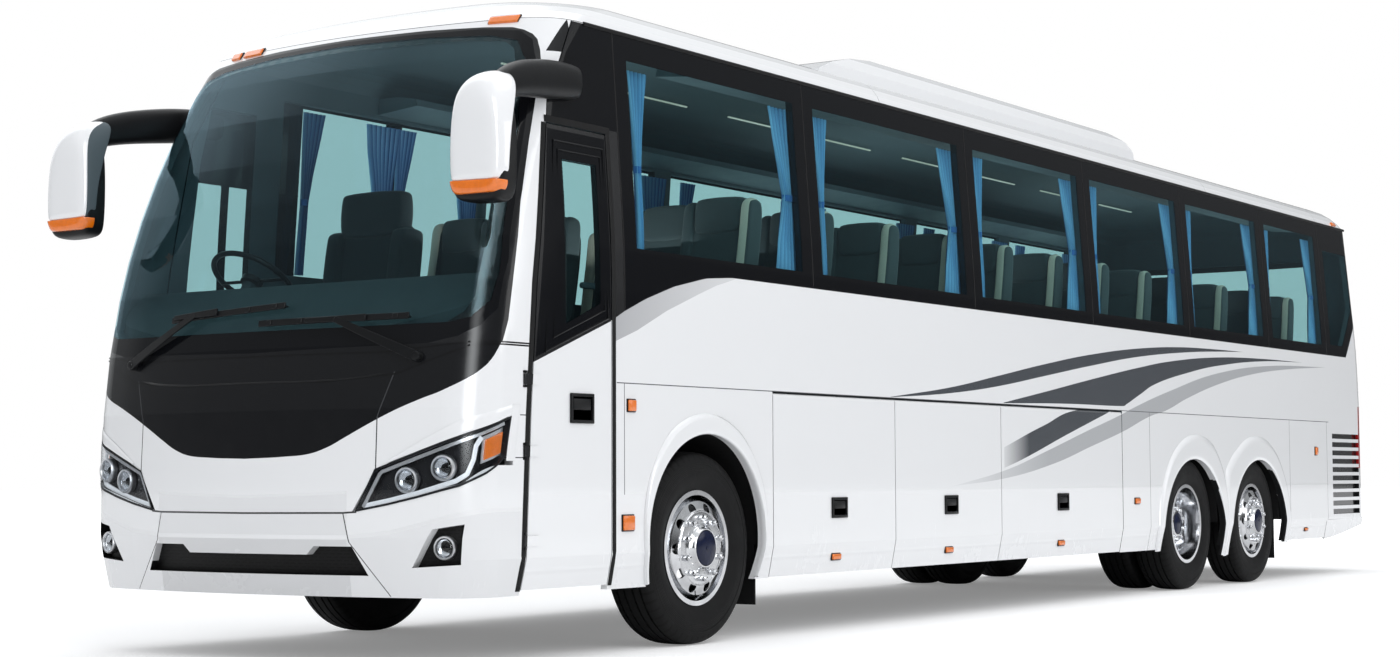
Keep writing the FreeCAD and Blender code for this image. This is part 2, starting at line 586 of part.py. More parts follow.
# ---- cabin --------------------------------------------------------------------------------------
STAIR = (-1420.0, DOOR_BACK, 520.0)     # stairwell: front, back and inner X
STEPS = [(430.0, 1040.0), (660.0, 860.0), (890.0, 700.0)]   # tread height and outer X of each step
STEP_THICK = 30.0
FIT = 0.5                   # between the shell and what is fitted inside it
LEDGE = 5.0                 # the deck carries the side walls on this much of their width
CABIN_GAP = 6.0


def build_floor():
    s0, s1, x_in = STAIR
    ledge = HALF_WIDTH - WALL + LEDGE
    deck = fuse([between(SEAM_Z - FLOOR, SEAM_Z, WALL + FIT),
                 box(-ledge, ledge, FENDER_BACK, TAIL_STATION - 20, SEAM_Z - FLOOR, SEAM_Z)])
    deck = cut(deck, [box(x_in, WIDE, s0, s1, 0, ROOF_Z), NOSE.common(box(x_in, WIDE, -3000, s0, 0, ROOF_Z))])
    well = [box(x_in, HALF_WIDTH - 90, s0, s0 + STEP_THICK, 400, SEAM_Z),
            box(x_in, HALF_WIDTH - 90, s1 - STEP_THICK, s1, 400, SEAM_Z),
            box(x_in - STEP_THICK, x_in, s0, s1, 400, SEAM_Z),
            box(x_in, HALF_WIDTH - 90, s0, s1, 400 - STEP_THICK, 400)]
    risers = []
    low = 400.0
    for z, x in STEPS:
        risers.append(box(x_in, x, s0, s1, low, z))
        low = z
    save("floor_deck", fuse([deck] + well + risers))


WHEEL_HUB = (-820.0, -1215.0, 1935.0)   # steering wheel centre: X, station, Z
WHEEL_TILT = math.radians(35.0)         # steering column from upright, leaning forwards at its foot
STEERING_RING = (225.0, 15.0)
COLUMN_RADIUS = 38.0
COLUMN_LENGTH = 380.0
SHAFT_RADIUS = 12.0
SHAFT_DEPTH = 70.0          # how far the steering shaft reaches into the column
COLUMN_DROP = 36.0          # the column ends this far below the steering wheel's centre
DESK_TOP = 1900.0


def build_dashboard():
    desk = [(-1960.0, SEAM_Z), (-1380.0, SEAM_Z), (-1330.0, 1700.0), (-1400.0, 1850.0), (-1600.0, 1850.0),
            (-1960.0, 1560.0)]
    desk = prism_x(desk, -WIDE, WIDE).common(between(SEAM_Z, DESK_TOP, WALL + FIT))
    desk = cut(desk, [box(STAIR[2], WIDE, STAIR[0] - 170, 0, 0, ROOF_Z), ahead_cut()])
    axis = column_axis()
    top = V(WHEEL_HUB[0], y_at(WHEEL_HUB[1]), WHEEL_HUB[2]) - axis * COLUMN_DROP
    column = Part.makeCylinder(COLUMN_RADIUS, COLUMN_LENGTH, top, axis * -1)
    bore = Part.makeCylinder(SHAFT_RADIUS + PIN_GAP, SHAFT_DEPTH + PANEL_GAP, top, axis * -1)
    save("dashboard", fuse([desk, column]).cut(bore))


def column_axis():
    """Direction of the steering column, from its foot to the driver."""
    return V(0, math.sin(WHEEL_TILT), math.cos(WHEEL_TILT))


def ahead_cut():
    """Room kept free behind the lower part of the windscreen."""
    return prism_x([(-2300.0, 1700.0), (-1900.0, 1700.0), (-1900.0, 1900.0), (-2300.0, 1900.0)], -WIDE, WIDE)


def build_steering_wheel():
    x, s, z = WHEEL_HUB
    axis = column_axis()
    centre = V(x, y_at(s), z)
    ring_r, grip = STEERING_RING
    ring = Part.makeTorus(ring_r, grip, centre, axis)
    hub = Part.makeCylinder(60, 30, centre - axis * 30, axis)
    across = V(1, 0, 0)
    spokes = []
    for direction in (across, across * -1, axis.cross(across)):
        spokes.append(Part.makeCylinder(9, ring_r - 4, centre - axis * 8, direction))
    shaft = Part.makeCylinder(SHAFT_RADIUS, COLUMN_DROP + SHAFT_DEPTH, centre, axis * -1)
    save("steering_wheel", fuse([ring, hub, shaft] + spokes))


SEAT_PITCH = 800.0
SEAT_FIRST = 150.0
SEAT_ROWS = 12
SEAT_PAIR = (230.0, 1150.0)             # inner and outer X of a pair of seats
SEAT_SIDE = [(0.0, 0.0), (380.0, 0.0), (380.0, 300.0), (520.0, 330.0), (690.0, 1030.0), (600.0, 1075.0),
             (545.0, 1040.0), (440.0, 480.0), (20.0, 450.0), (0.0, 330.0), (60.0, 290.0), (60.0, 40.0)]


def seat_profile(station, floor):
    return [(station + s, floor + z) for s, z in SEAT_SIDE]


def build_seats():
    room = between(SEAM_Z, ROOF_EDGE_Z, WALL + CABIN_GAP)
    seats = []
    for row in range(SEAT_ROWS):
        pair = prism_x(seat_profile(SEAT_FIRST + row * SEAT_PITCH, SEAM_Z), *SEAT_PAIR).common(room)
        seats += [pair, mirror(pair)]
    save("passenger_seats", Part.makeCompound(seats))
    driver = prism_x(seat_profile(-960.0, SEAM_Z), -1080.0, -560.0)
    save("driver_seat", driver)


RACK = [(850.0, 3060.0), (1300.0, 3016.0), (1300.0, 3126.0), (1000.0, 3126.0), (860.0, 3100.0)]
RACK_END = 9900.0
CURTAIN_Z = (2030.0, 2970.0)
CURTAIN_DEPTH = 28.0
# the two curtains of a window: one starts behind its front divider, one ends before its rear divider
FRONT_CURTAIN = (117.0, 284.0)
REAR_CURTAIN = (-375.0, -100.0)


def curtain_places():
    """Front and back station of every curtain on one side."""
    places = []
    for front, back in zip(DIVIDERS, DIVIDERS[1:]):
        places.append([front + s for s in FRONT_CURTAIN])
        places.append([back + s for s in REAR_CURTAIN])
    return places


def build_cabin_trim():
    rack = prism_y(RACK, SEAT_FIRST, RACK_END).common(between(GLASS_LOW_Z, ROOF_EDGE_Z, WALL))
    save("parcel_racks", both(rack))
    z0, z1 = CURTAIN_Z
    layer = between(z0, z1, WALL).cut(between(z0, z1, WALL + CURTAIN_DEPTH))
    cloths = [layer.common(box(0, WIDE, s0, s1, z0, z1)) for s0, s1 in curtain_places()]
    save("curtains", Part.makeCompound(cloths + [mirror(c) for c in cloths]))


# ---- roof unit, mirrors, wipers -----------------------------------------------------------------
POD_SIDE = [(1900.0, 3300.0), (6760.0, 3300.0), (6745.0, 3400.0), (6660.0, 3475.0), (6500.0, 3530.0),
            (6280.0, 3558.0), (3100.0, 3558.0), (2700.0, 3538.0), (2350.0, 3496.0), (2080.0, 3436.0),
            (1900.0, 3370.0)]
POD_HALF = [(860.0, 3300.0), (852.0, 3420.0), (820.0, 3490.0), (760.0, 3538.0), (680.0, 3558.0)]
POD_END = POD_HALF + [(-x, z) for x, z in reversed(POD_HALF)]
POD_ENDS = (1800.0, 6800.0)


def build_roof_unit():
    pod = prism_x(POD_SIDE, -WIDE, WIDE).common(prism_y(POD_END, *POD_ENDS))
    save("roof_aircon", pod.cut(body(ROOF_EDGE_Z, TOP_Z)))


MIRROR_HEAD = [(1206.0, 2190.0), (1225.0, 2145.0), (1270.0, 2128.0), (1440.0, 2122.0), (1485.0, 2140.0),
               (1505.0, 2190.0), (1510.0, 2380.0), (1498.0, 2540.0), (1462.0, 2625.0), (1400.0, 2675.0),
               (1310.0, 2690.0), (1240.0, 2655.0), (1208.0, 2570.0), (1200.0, 2380.0)]
# the head is drawn in towards its front: (station, share of its full outline)
MIRROR_DEPTH = [(-2050.0, 0.80), (-2020.0, 0.93), (-1970.0, 1.0), (-1900.0, 1.0)]
# sections of the arm: middle (X, station, Z), half height and half thickness
MIRROR_ARM = [(1238.0, -1100.0, 2806.0, 78.0, 42.0), (1262.0, -1300.0, 2792.0, 90.0, 52.0),
              (1298.0, -1500.0, 2768.0, 88.0, 50.0), (1342.0, -1700.0, 2736.0, 80.0, 47.0),
              (1368.0, -1850.0, 2690.0, 72.0, 44.0), (1375.0, -1950.0, 2625.0, 55.0, 40.0)]
ARM_SECTION = [(1.0, 0.5), (0.6, 1.0), (-0.6, 1.0), (-1.0, 0.5),
               (-1.0, -0.5), (-0.6, -1.0), (0.6, -1.0), (1.0, -0.5)]


def ring(points):
    """Closed polygon through (X, station, Z) points."""
    pts = [V(x, y_at(s), z) for x, s, z in points]
    return Part.makePolygon(pts + pts[:1])


def mirror_head():
    middle_x = sum(x for x, z in MIRROR_HEAD) / len(MIRROR_HEAD)
    middle_z = sum(z for x, z in MIRROR_HEAD) / len(MIRROR_HEAD)
    rings = []
    for s, share in MIRROR_DEPTH:
        rings.append(ring([(middle_x + (x - middle_x) * share, s, middle_z + (z - middle_z) * share)
                           for x, z in MIRROR_HEAD]))
    return Part.makeLoft(rings, True, True)


def mirror_arm():
    rings = []
    for x, s, z, tall, thick in MIRROR_ARM:
        rings.append(ring([(x + thick * across, s, z + tall * up) for across, up in ARM_SECTION]))
    return Part.makeLoft(rings, True, True)


def build_mirrors():
    head = mirror_head()
    arm = mirror_arm().cut(body(BUMPER_Z, ROOF_EDGE_Z)).cut(head)
    save("mirror_heads", both(head))
    save("mirror_arms", both(arm))


WIPERS = [((924.0, 1456.0), (860.0, 1600.0), (100.0, 1530.0), (930.0, 1620.0)),
          ((-924.0, 1456.0), (-440.0, 1640.0), (-640.0, 1560.0), (180.0, 1720.0))]
WIPER_THICK = 22.0


def strip_y(a, b, half, s0, s1):
    """Bar seen from the front between two (X, Z) points, extruded along the coach."""
    dx, dz = b[0] - a[0], b[1] - a[1]
    n = math.hypot(dx, dz)
    ox, oz = -dz / n * half, dx / n * half
    pts = [(a[0] + ox, a[1] + oz), (b[0] + ox, b[1] + oz), (b[0] - ox, b[1] - oz), (a[0] - ox, a[1] - oz)]
    return prism_y(pts, s0, s1)


def build_wipers():
    front = -FRONT_OVERHANG - 60
    pieces = []
    outer = body(1400.0, EASE_Z, -WIPER_THICK).cut(body(1390.0, EASE_Z + 10, 0))
    for pivot, mid, b0, b1 in WIPERS:
        arm = strip_y(pivot, mid, 14.0, front, -1500)
        blade = strip_y(b0, b1, 11.0, front, -1500)
        knob = Part.makeCylinder(34.0, 700, V(pivot[0], y_at(front), pivot[1]), V(0, 1, 0))
        pieces.append(outer.common(fuse([arm, blade, knob])))
    save("wipers", Part.makeCompound(pieces))


# ---- running gear -------------------------------------------------------------------------------
RAIL_X = (370.0, 450.0)
RAIL_Z = (620.0, 860.0)
RAIL_ENDS = (-1950.0, 10900.0)
CROSS = [-1800.0, -700.0, 600.0, 5500.0, 6250.0, 7500.0, 8850.0, 10800.0]
BAY = (680.0, 5430.0, 1195.0, 360.0, 30.0)      # luggage bay: front, back, half width, floor, thickness
CROSS_HALF = 40.0           # half width of a cross-member
POST = (250.0, 330.0)       # posts on the cross-members that carry the deck


def frame_part(rear):
    """Two rails with their cross-members, ahead of or behind the luggage bay."""
    x0, x1 = RAIL_X
    z0, z1 = RAIL_Z
    s0, s1 = (BAY[1], RAIL_ENDS[1]) if rear else (RAIL_ENDS[0], BAY[0])
    parts = [box(x0, x1, s0, s1, z0, z1), box(-x1, -x0, s0, s1, z0, z1)]
    for s in [s for s in CROSS if s0 < s < s1]:
        parts.append(box(-x1, x1, s - CROSS_HALF, s + CROSS_HALF, z0 + 40, z1 - 40))
        for a, b in (POST, (-POST[1], -POST[0])):
            parts.append(box(a, b, s - CROSS_HALF, s + CROSS_HALF, z1 - 80, SEAM_Z - FLOOR))
    return fuse(parts)


def build_frame():
    save("chassis_frame", Part.makeCompound([frame_part(False), frame_part(True)]))


def build_bay():
    s0, s1, half, low, thick = BAY
    top = SEAM_Z - FLOOR
    bay = [box(-half, half, s0, s1, low, low + thick),
           box(-half, half, s0, s0 + thick, low, top),
           box(-half, half, s1 - thick, s1, low, top)]
    for front, back in LUGGAGE[1:]:
        for side in (-1, 1):
            x = side * (half - 25)
            bay.append(box(x - 25, x + 25, front - 30, front + 30, low, top))
    bay.append(box(-25, 25, s0, s1, low, low + 90))
    save("luggage_bay", fuse(bay))


def housing(station, radius):
    """Wheel housing: arched sheet with an inner wall, open towards the wheel and downwards."""
    x_out = HALF_WIDTH - DOOR_SKIN - 2
    outer = tube_x(HOUSE_X - LINER, x_out, station, TYRE_RADIUS, radius + LINER)
    inner = tube_x(HOUSE_X, x_out + 10, station, TYRE_RADIUS, radius)
    reach = radius + 2 * LINER
    return outer.cut(inner).cut(box(-WIDE, WIDE, station - reach, station + reach, -500, TYRE_RADIUS))


# wheel housings as (station, radius, room for the axle each side of the hub line)
HOUSES = [(0.0, HOUSE_RADIUS, 80.0), (WHEELBASE, REAR_HOUSE_RADIUS, 100.0), (TAG, REAR_HOUSE_RADIUS, 95.0)]
HANGER = (HOUSE_X + 100, HOUSE_X + 160, 30.0)   # post that holds a housing to the deck: two X and half length


def build_housings():
    x0, x1, half = HANGER
    houses = []
    for station, radius, axle in HOUSES:
        crown = TYRE_RADIUS + radius + LINER / 2
        hanger = box(x0, x1, station - half, station + half, crown, SEAM_Z - FLOOR)
        passage = box(HOUSE_X - 2 * LINER, HOUSE_X, station - axle, station + axle, 0, TYRE_RADIUS + axle)
        houses.append(fuse([housing(station, radius), hanger]).cut(passage))
    save("wheel_housings", Part.makeCompound(houses + [mirror(h) for h in houses]))


EYE = (55.0, 60.0)          # kingpin eye of the front axle: radius, half height
FORK = (65.0, 110.0, 50.0)  # knuckle fork: nearest and farthest height from the hub line, half width


def build_front_axle():
    r, half = EYE
    beam = [box(-KINGPIN_X + 30, KINGPIN_X - 30, -55, 55, TYRE_RADIUS - 50, TYRE_RADIUS + 50)]
    for side in (-1, 1):
        beam.append(post(side * KINGPIN_X, 0, TYRE_RADIUS - half, TYRE_RADIUS + half, r))
    beam = fuse(beam)
    holes = [post(side * KINGPIN_X, 0, 0, 1000, KINGPIN_RADIUS + RUNNING) for side in (-1, 1)]
    save("front_axle", cut(beam, holes))


STUB_END = 106.0            # stub reaches this far out from the wheel's middle plane


def build_knuckle():
    near, far, half = FORK
    z = TYRE_RADIUS
    x_plate = KINGPIN_X + near
    pieces = [post(KINGPIN_X, 0, z - far, z + far, KINGPIN_RADIUS),
              box(x_plate, x_plate + 20, -half, half, z - far, z + far),
              tube_x(x_plate, WHEEL_X + STUB_END, 0, z, STUB_RADIUS)]
    for z0 in (z + near, z - far):
        pieces.append(box(KINGPIN_X, x_plate + 20, -half, half, z0, z0 + far - near))
        pieces.append(post(KINGPIN_X, 0, z0, z0 + far - near, half))
    knuckle = fuse(pieces)
    save("knuckle_left", knuckle)
    save("knuckle_right", mirror(knuckle))


BEAM_X = 410.0              # beams under the drive axle that carry its four air springs
SPRING_DROP = 30.0
TAG_TUBE = 70.0
DRIVE_TUBE = 78.0
BANJO = [(240.0, DRIVE_TUBE), (170.0, 170.0), (70.0, 225.0)]    # half profile of the final drive housing


def build_rear_axles():
    z = TYRE_RADIUS
    inner = WHEEL_X - TWIN_PITCH
    stub, tube = WHEEL_X - 33.0, inner + 55
    half = [(stub, STUB_RADIUS), (tube, STUB_RADIUS), (tube, DRIVE_TUBE)] + BANJO
    profile = half + [(-x, r) for x, r in reversed(half)] + [(-stub, 0.0), (stub, 0.0)]
    drive = [revolve_x(profile, 0, WHEELBASE, z),
             Part.makeCylinder(95.0, 420, V(0, y_at(WHEELBASE), z), V(0, 1, 0))]
    for side in (-1, 1):
        x = side * BEAM_X
        drive.append(box(x - 60, x + 60, WHEELBASE - 430, WHEELBASE + 430, z - 90, z - SPRING_DROP))
    save("drive_axle", fuse(drive))
    tag = [tube_x(-WHEEL_X + 62, WHEEL_X - 62, TAG, z, TAG_TUBE),
           tube_x(-WHEEL_X - STUB_END, WHEEL_X + STUB_END, TAG, z, STUB_RADIUS)]
    save("tag_axle", fuse(tag))


# air springs as (station, X, foot Z, radius); their tops meet the rails
SPRINGS = [(0.0, 300.0, TYRE_RADIUS + 50.0, 100.0),
           (WHEELBASE - 300.0, BEAM_X, TYRE_RADIUS - SPRING_DROP, 130.0),
           (WHEELBASE + 300.0, BEAM_X, TYRE_RADIUS - SPRING_DROP, 130.0),
           (TAG, BEAM_X, TYRE_RADIUS + 40.0, 110.0)]


def build_springs():
    springs = [post(x, station, z, RAIL_Z[0], radius) for station, x, z, radius in SPRINGS]
    springs = [cut(s, [tube_x(-WIDE, WIDE, TAG, TYRE_RADIUS, TAG_TUBE)]) for s in springs]
    save("air_springs", Part.makeCompound(springs + [mirror(s) for s in springs]))


ENGINE = (-430.0, 430.0, 9200.0, 10700.0, RAIL_Z[1], SEAM_Z - FLOOR)


ENGINE_SUMP = 300.0         # how far the engine reaches down between the rails


def build_engine():
    x0, x1, s0, s1, z0, z1 = ENGINE
    sump_x = RAIL_X[0]
    sump = box(-sump_x, sump_x, s0, s1, z0 - ENGINE_SUMP, z0)
    save("engine_block", fuse([box(x0, x1, s0, s1, z0, z1), sump]))


# rubber flaps on the lower rear edge of the front and tag wheel housings, as (station, lower edge)
FLAPS = [(HOUSE_RADIUS, 180.0), (TAG + REAR_HOUSE_RADIUS, 180.0)]
FLAP_X = (900.0, 1188.0)


def build_mudflaps():
    flaps = [box(*FLAP_X, s, s + LINER, z, TYRE_RADIUS) for s, z in FLAPS]
    save("mudflaps", Part.makeCompound(flaps + [mirror(f) for f in flaps]))


def revolve_x(points, x, station, z):
    """Revolve an outline of (offset along X, radius) points about a line across the coach."""
    pts = [V(x + u, y_at(station), z + r) for u, r in points]
    face = Part.Face(Part.makePolygon(pts + pts[:1]))
    return face.revolve(V(x, y_at(station), z), V(1, 0, 0), 360)


BEAD_TOP = FLANGE_RADIUS + 4.0      # the sidewall starts to bulge just above the rim's flange
TYRE_SIDE = [(RIM_HALF, SEAT_RADIUS), (RIM_HALF, BEAD_TOP), (TYRE_HALF, 385.0), (131.0, 456.0),
             (104.0, 498.0), (60.0, TYRE_RADIUS)]
TYRE_PROFILE = [(-u, r) for u, r in TYRE_SIDE] + TYRE_SIDE[::-1]
DISC_PROFILE = [(50.0, 277.0), (120.0, 246.0), (138.0, 205.0), (138.0, 140.0), (150.0, 120.0), (150.0, 75.0),
                (172.0, 62.0), (172.0, 0.0), (112.0, 0.0), (112.0, 45.1), (-40.0, 45.1), (-40.0, 100.0),
                (100.0, 110.0), (126.0, 140.0), (126.0, 200.0), (108.0, 240.0), (38.0, 277.0)]
TWIN_PROFILE = [(-96.0, 277.0), (-142.0, 246.0), (-142.0, 170.0), (-60.0, 150.0), (-20.0, 120.0),
                (-20.0, 0.0), (-26.0, 0.0), (-26.0, 45.1), (-250.0, 45.1), (-250.0, 150.0),
                (-170.0, 150.0), (-170.0, 246.0), (-216.0, 277.0), (-204.0, 277.0), (-158.0, 250.0),
                (-154.0, 250.0), (-108.0, 277.0)]


def barrel(x, station):
    """Wheel barrel with its two flanges."""
    inner = SEAT_RADIUS - BARREL
    edge = RIM_HALF + FLANGE
    outer = [(edge, FLANGE_RADIUS), (RIM_HALF, FLANGE_RADIUS), (RIM_HALF, SEAT_RADIUS)]
    pts = [(-edge, inner), (edge, inner)] + outer + [(-u, r) for u, r in reversed(outer)]
    return revolve_x(pts, x, station, TYRE_RADIUS)


def hand_holes(x0, x1, station):
    holes = []
    for i in range(HAND_HOLES):
        a = 2 * math.pi * i / HAND_HOLES
        s, z = station + HAND_HOLE_CIRCLE * math.cos(a), TYRE_RADIUS + HAND_HOLE_CIRCLE * math.sin(a)
        centre = V(x0, y_at(s), z)
        holes.append(Part.makeCylinder(HAND_HOLE_RADIUS, x1 - x0, centre, V(1, 0, 0)))
    return holes


def build_wheels():
    for name, station in (("front", 0.0), ("tag", TAG)):
        disc = revolve_x(DISC_PROFILE, WHEEL_X, station, TYRE_RADIUS)
        rim = fuse([barrel(WHEEL_X, station), disc])
        rim = cut(rim, hand_holes(WHEEL_X + 60, WHEEL_X + 200, station))
        tyre = revolve_x(TYRE_PROFILE, WHEEL_X, station, TYRE_RADIUS)
        save(name + "_rim_left", rim)
        save(name + "_rim_right", mirror(rim))
        save(name + "_tyre_left", tyre)
        save(name + "_tyre_right", mirror(tyre))
    inner = WHEEL_X - TWIN_PITCH
    disc = revolve_x(TWIN_PROFILE, WHEEL_X, WHEELBASE, TYRE_RADIUS)
    rim = fuse([barrel(WHEEL_X, WHEELBASE), barrel(inner, WHEELBASE), disc])
    rim = cut(rim, hand_holes(WHEEL_X - 180, WHEEL_X - 100, WHEELBASE))
    tyres = Part.makeCompound([revolve_x(TYRE_PROFILE, x, WHEELBASE, TYRE_RADIUS) for x in (WHEEL_X, inner)])
    save("drive_rim_left", rim)
    save("drive_rim_right", mirror(rim))
    save("drive_tyres_left", tyres)
    save("drive_tyres_right", mirror(tyres))


build_roof()
build_side_walls()
build_nose()
build_door()
build_skirts()
build_hinges()
build_tail()
build_floor()
build_dashboard()
build_steering_wheel()
build_seats()
build_cabin_trim()
build_roof_unit()
build_mirrors()
build_wipers()
build_frame()
build_bay()
build_housings()
build_front_axle()
build_knuckle()
build_rear_axles()
build_springs()
build_engine()
build_mudflaps()
build_wheels()
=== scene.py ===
"""A long-distance coach on three axles: paint, glass, lamps, wheels and cabin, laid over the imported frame."""

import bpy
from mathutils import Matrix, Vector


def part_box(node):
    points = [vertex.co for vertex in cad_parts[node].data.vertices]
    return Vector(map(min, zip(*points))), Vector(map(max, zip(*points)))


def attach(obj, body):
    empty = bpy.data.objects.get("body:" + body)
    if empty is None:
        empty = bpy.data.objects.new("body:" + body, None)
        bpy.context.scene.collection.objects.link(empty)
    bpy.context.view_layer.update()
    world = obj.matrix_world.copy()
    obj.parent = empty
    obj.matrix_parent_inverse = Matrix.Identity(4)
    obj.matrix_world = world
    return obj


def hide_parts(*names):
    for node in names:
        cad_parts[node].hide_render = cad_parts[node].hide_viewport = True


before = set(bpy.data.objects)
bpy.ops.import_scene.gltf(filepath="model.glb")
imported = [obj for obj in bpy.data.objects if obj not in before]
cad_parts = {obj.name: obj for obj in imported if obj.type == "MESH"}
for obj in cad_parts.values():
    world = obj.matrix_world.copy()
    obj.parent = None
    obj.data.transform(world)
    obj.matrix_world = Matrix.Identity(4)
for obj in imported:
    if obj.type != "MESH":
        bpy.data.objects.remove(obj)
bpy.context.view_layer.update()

import math

import bpy
from mathutils import Matrix, Vector

# ---- places, in metres --------------------------------------------------------------------------
def middle(node):
    low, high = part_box(node)
    return (low + high) / 2


FRONT_AXLE = middle("front_rim_left").y
DRIVE_AXLE = middle("drive_rim_left").y
TAG_AXLE = middle("tag_rim_left").y
HUB_Z = middle("front_rim_left").z
TYRE_X = middle("front_tyre_left").x
FLOOR_Z = 1.345             # top of the cabin floor and of the luggage doors
LEDGE_Z = 1.346             # joint over the luggage doors
SILL_Z = 1.942              # lower edge of the side panes
GLASS_TOP = 3.128           # upper edge of the side panes
EAVES_Z, KNEE_Z = 3.13, 3.29    # where the sides turn into the roof, and where the roof turns flat
ROOF_RISE = 0.247           # from the eaves to the top
COVE = 0.17                 # how far the roof draws in between the eaves and the knee
HALF_WIDTH = 1.275
BOW, CORNER = 4.5, 0.23     # plan radii of the nose
SCREEN_FOOT, SCREEN_RADIUS = 0.9, 3.8   # where the nose starts to lean back, and its radius from the side
OVERHANG = 2.1              # nose ahead of the front axle
DIVIDERS = [-0.74, 1.11, 3.14, 4.98, 6.80, 8.56, 10.04]     # stations of the joints between side panes
LEAN = math.radians(4.1)    # of the sides, inwards
EASE_Z, EASE_RADIUS = 1.8, 6.0  # where the sides start to lean, and the radius of the turn
TWIN_PITCH = 0.312          # between the two tyres of a drive wheel
SEAT_FIRST, SEAT_PITCH, SEAT_ROWS = 0.11, 0.8, 12   # station of the first row, step and number of rows
SEAT_STAGGER = 0.16         # aisle seats stand this far behind their neighbours
SEAT_FOOT, SEAT_LEAN = 0.45, 0.19   # height over the floor where the backs start to lean, and their slope
COACH = ("coach", "coach")  # bodies of a piece and of its mirror image
EASE_TOP = EASE_Z + EASE_RADIUS * math.sin(LEAN)
EASE_X = HALF_WIDTH - EASE_RADIUS * (1 - math.cos(LEAN))


def row(station):
    """Station behind the front axle to a place along the coach."""
    return FRONT_AXLE + station


def half_width(z):
    """Half the width of the body at a height."""
    if z <= 0.5:
        return HALF_WIDTH - 0.2 * (0.5 - z)
    if z <= EASE_Z:
        return HALF_WIDTH
    if z <= EASE_TOP:
        return HALF_WIDTH - EASE_RADIUS + math.sqrt(EASE_RADIUS ** 2 - (z - EASE_Z) ** 2)
    edge = EASE_X - (EAVES_Z - EASE_TOP) * math.tan(LEAN)
    if z <= EAVES_Z:
        return EASE_X - (z - EASE_TOP) * math.tan(LEAN)
    if z <= KNEE_Z:
        t = (z - EAVES_Z) / 0.16
        return edge - COVE * (0.25 * t + 0.75 * (1 - math.sqrt(1 - 0.96 * t * t)) / 0.8)
    return (edge - COVE) * math.sqrt(max(0.0, 1 - (z - KNEE_Z) / 0.087))


def brow(z):
    """How far the front of the roof draws back above the eaves."""
    rise = min(1.0, (z - EAVES_Z) / ROOF_RISE)
    return 0.5 * (z - EAVES_Z) + 0.95 * (1 - math.sqrt(1 - rise * rise))


def nose_station(z):
    """Station of the nose on the centre line at a height."""
    if z <= 0.6:
        return -OVERHANG + (0.6 - z) * 0.15
    if z <= SCREEN_FOOT:
        return -OVERHANG
    if z <= EAVES_Z:
        return -OVERHANG + SCREEN_RADIUS - math.sqrt(SCREEN_RADIUS ** 2 - (z - SCREEN_FOOT) ** 2)
    return nose_station(EAVES_Z) + brow(z)


def nose_plan(z):
    """Half width, corner radius, bow's end angle and corner centre's station of the nose at a height."""
    w = half_width(z)
    corner = min(CORNER * (1 + max(0.0, z - EAVES_Z) / 0.12), 0.7 * w)
    turn = math.asin((w - corner) / (BOW - corner))
    centre = nose_station(z) + BOW - (BOW - corner) * math.cos(turn)
    return w, corner, turn, centre


def around(a, z, lift=0.0):
    """The point a metres round the nose from its middle at height z, lift metres off the skin."""
    w, corner, turn, centre = nose_plan(z)
    side, a = (1 if a >= 0 else -1), abs(a)
    if a <= BOW * turn:
        t = a / BOW
        x, s = BOW * math.sin(t), nose_station(z) + BOW * (1 - math.cos(t))
    elif a <= BOW * turn + corner * (math.pi / 2 - turn):
        t = turn + (a - BOW * turn) / corner
        x, s = w - corner + corner * math.sin(t), centre - corner * math.cos(t)
    else:
        t = math.pi / 2
        x, s = w, centre + a - BOW * turn - corner * (math.pi / 2 - turn)
    return Vector((side * (x + lift * math.sin(t)), row(s - lift * math.cos(t)), z))


def girth(x, z):
    """How far round the nose a place x metres off the middle is, at height z."""
    w, corner, turn, _ = nose_plan(z)
    if x <= BOW * math.sin(turn):
        return BOW * math.asin(x / BOW)
    return BOW * turn + corner * (math.asin(min(1.0, (x - w + corner) / corner)) - turn)


def on_side(station, z, lift=0.0):
    """A point on the left side of the coach."""
    return Vector((half_width(z) + lift, row(station), z))


# ---- camera -------------------------------------------------------------------------------------
CAMERA_X, CAMERA_STATION, CAMERA_Z = 7.927, -10.093, 0.870
CAMERA_TURN = (-33.546, 3.727, -0.235)      # yaw, pitch and roll, in degrees
CAMERA_LENS = 59.146                        # in millimetres, on a 36 mm sensor


def add_camera():
    yaw, pitch, roll = [math.radians(turn) for turn in CAMERA_TURN]
    ahead = Vector((math.sin(yaw) * math.cos(pitch), math.cos(yaw) * math.cos(pitch), math.sin(pitch)))
    right = ahead.cross(Vector((0, 0, 1))).normalized()
    up = right.cross(ahead)
    right, up = (right * math.cos(roll) + up * math.sin(roll),
                 up * math.cos(roll) - right * math.sin(roll))
    lens = bpy.data.cameras.new("camera")
    lens.sensor_width = 36.0
    lens.lens = CAMERA_LENS
    lens.clip_end = 200.0
    camera = bpy.data.objects.new("camera", lens)
    bpy.context.scene.collection.objects.link(camera)
    turned = Matrix((right, up, -ahead)).transposed().to_4x4()
    camera.matrix_world = Matrix.Translation((CAMERA_X, row(CAMERA_STATION), CAMERA_Z)) @ turned
    bpy.context.scene.camera = camera


# ---- hand tools ---------------------------------------------------------------------------------
def hold(*pieces):
    """Select only these pieces."""
    bpy.ops.object.select_all(action="DESELECT")
    for piece in pieces:
        piece.select_set(True)
    if pieces:
        bpy.context.view_layer.objects.active = pieces[0]


def named(name):
    piece = bpy.context.object
    piece.name = name
    piece.data.name = name
    return piece


def edit(piece, *steps):
    """Run edit-mode steps on the whole piece."""
    hold(piece)
    bpy.ops.object.mode_set(mode="EDIT")
    bpy.ops.mesh.select_all(action="SELECT")
    for step in steps:
        step()
    bpy.ops.object.mode_set(mode="OBJECT")
    return piece


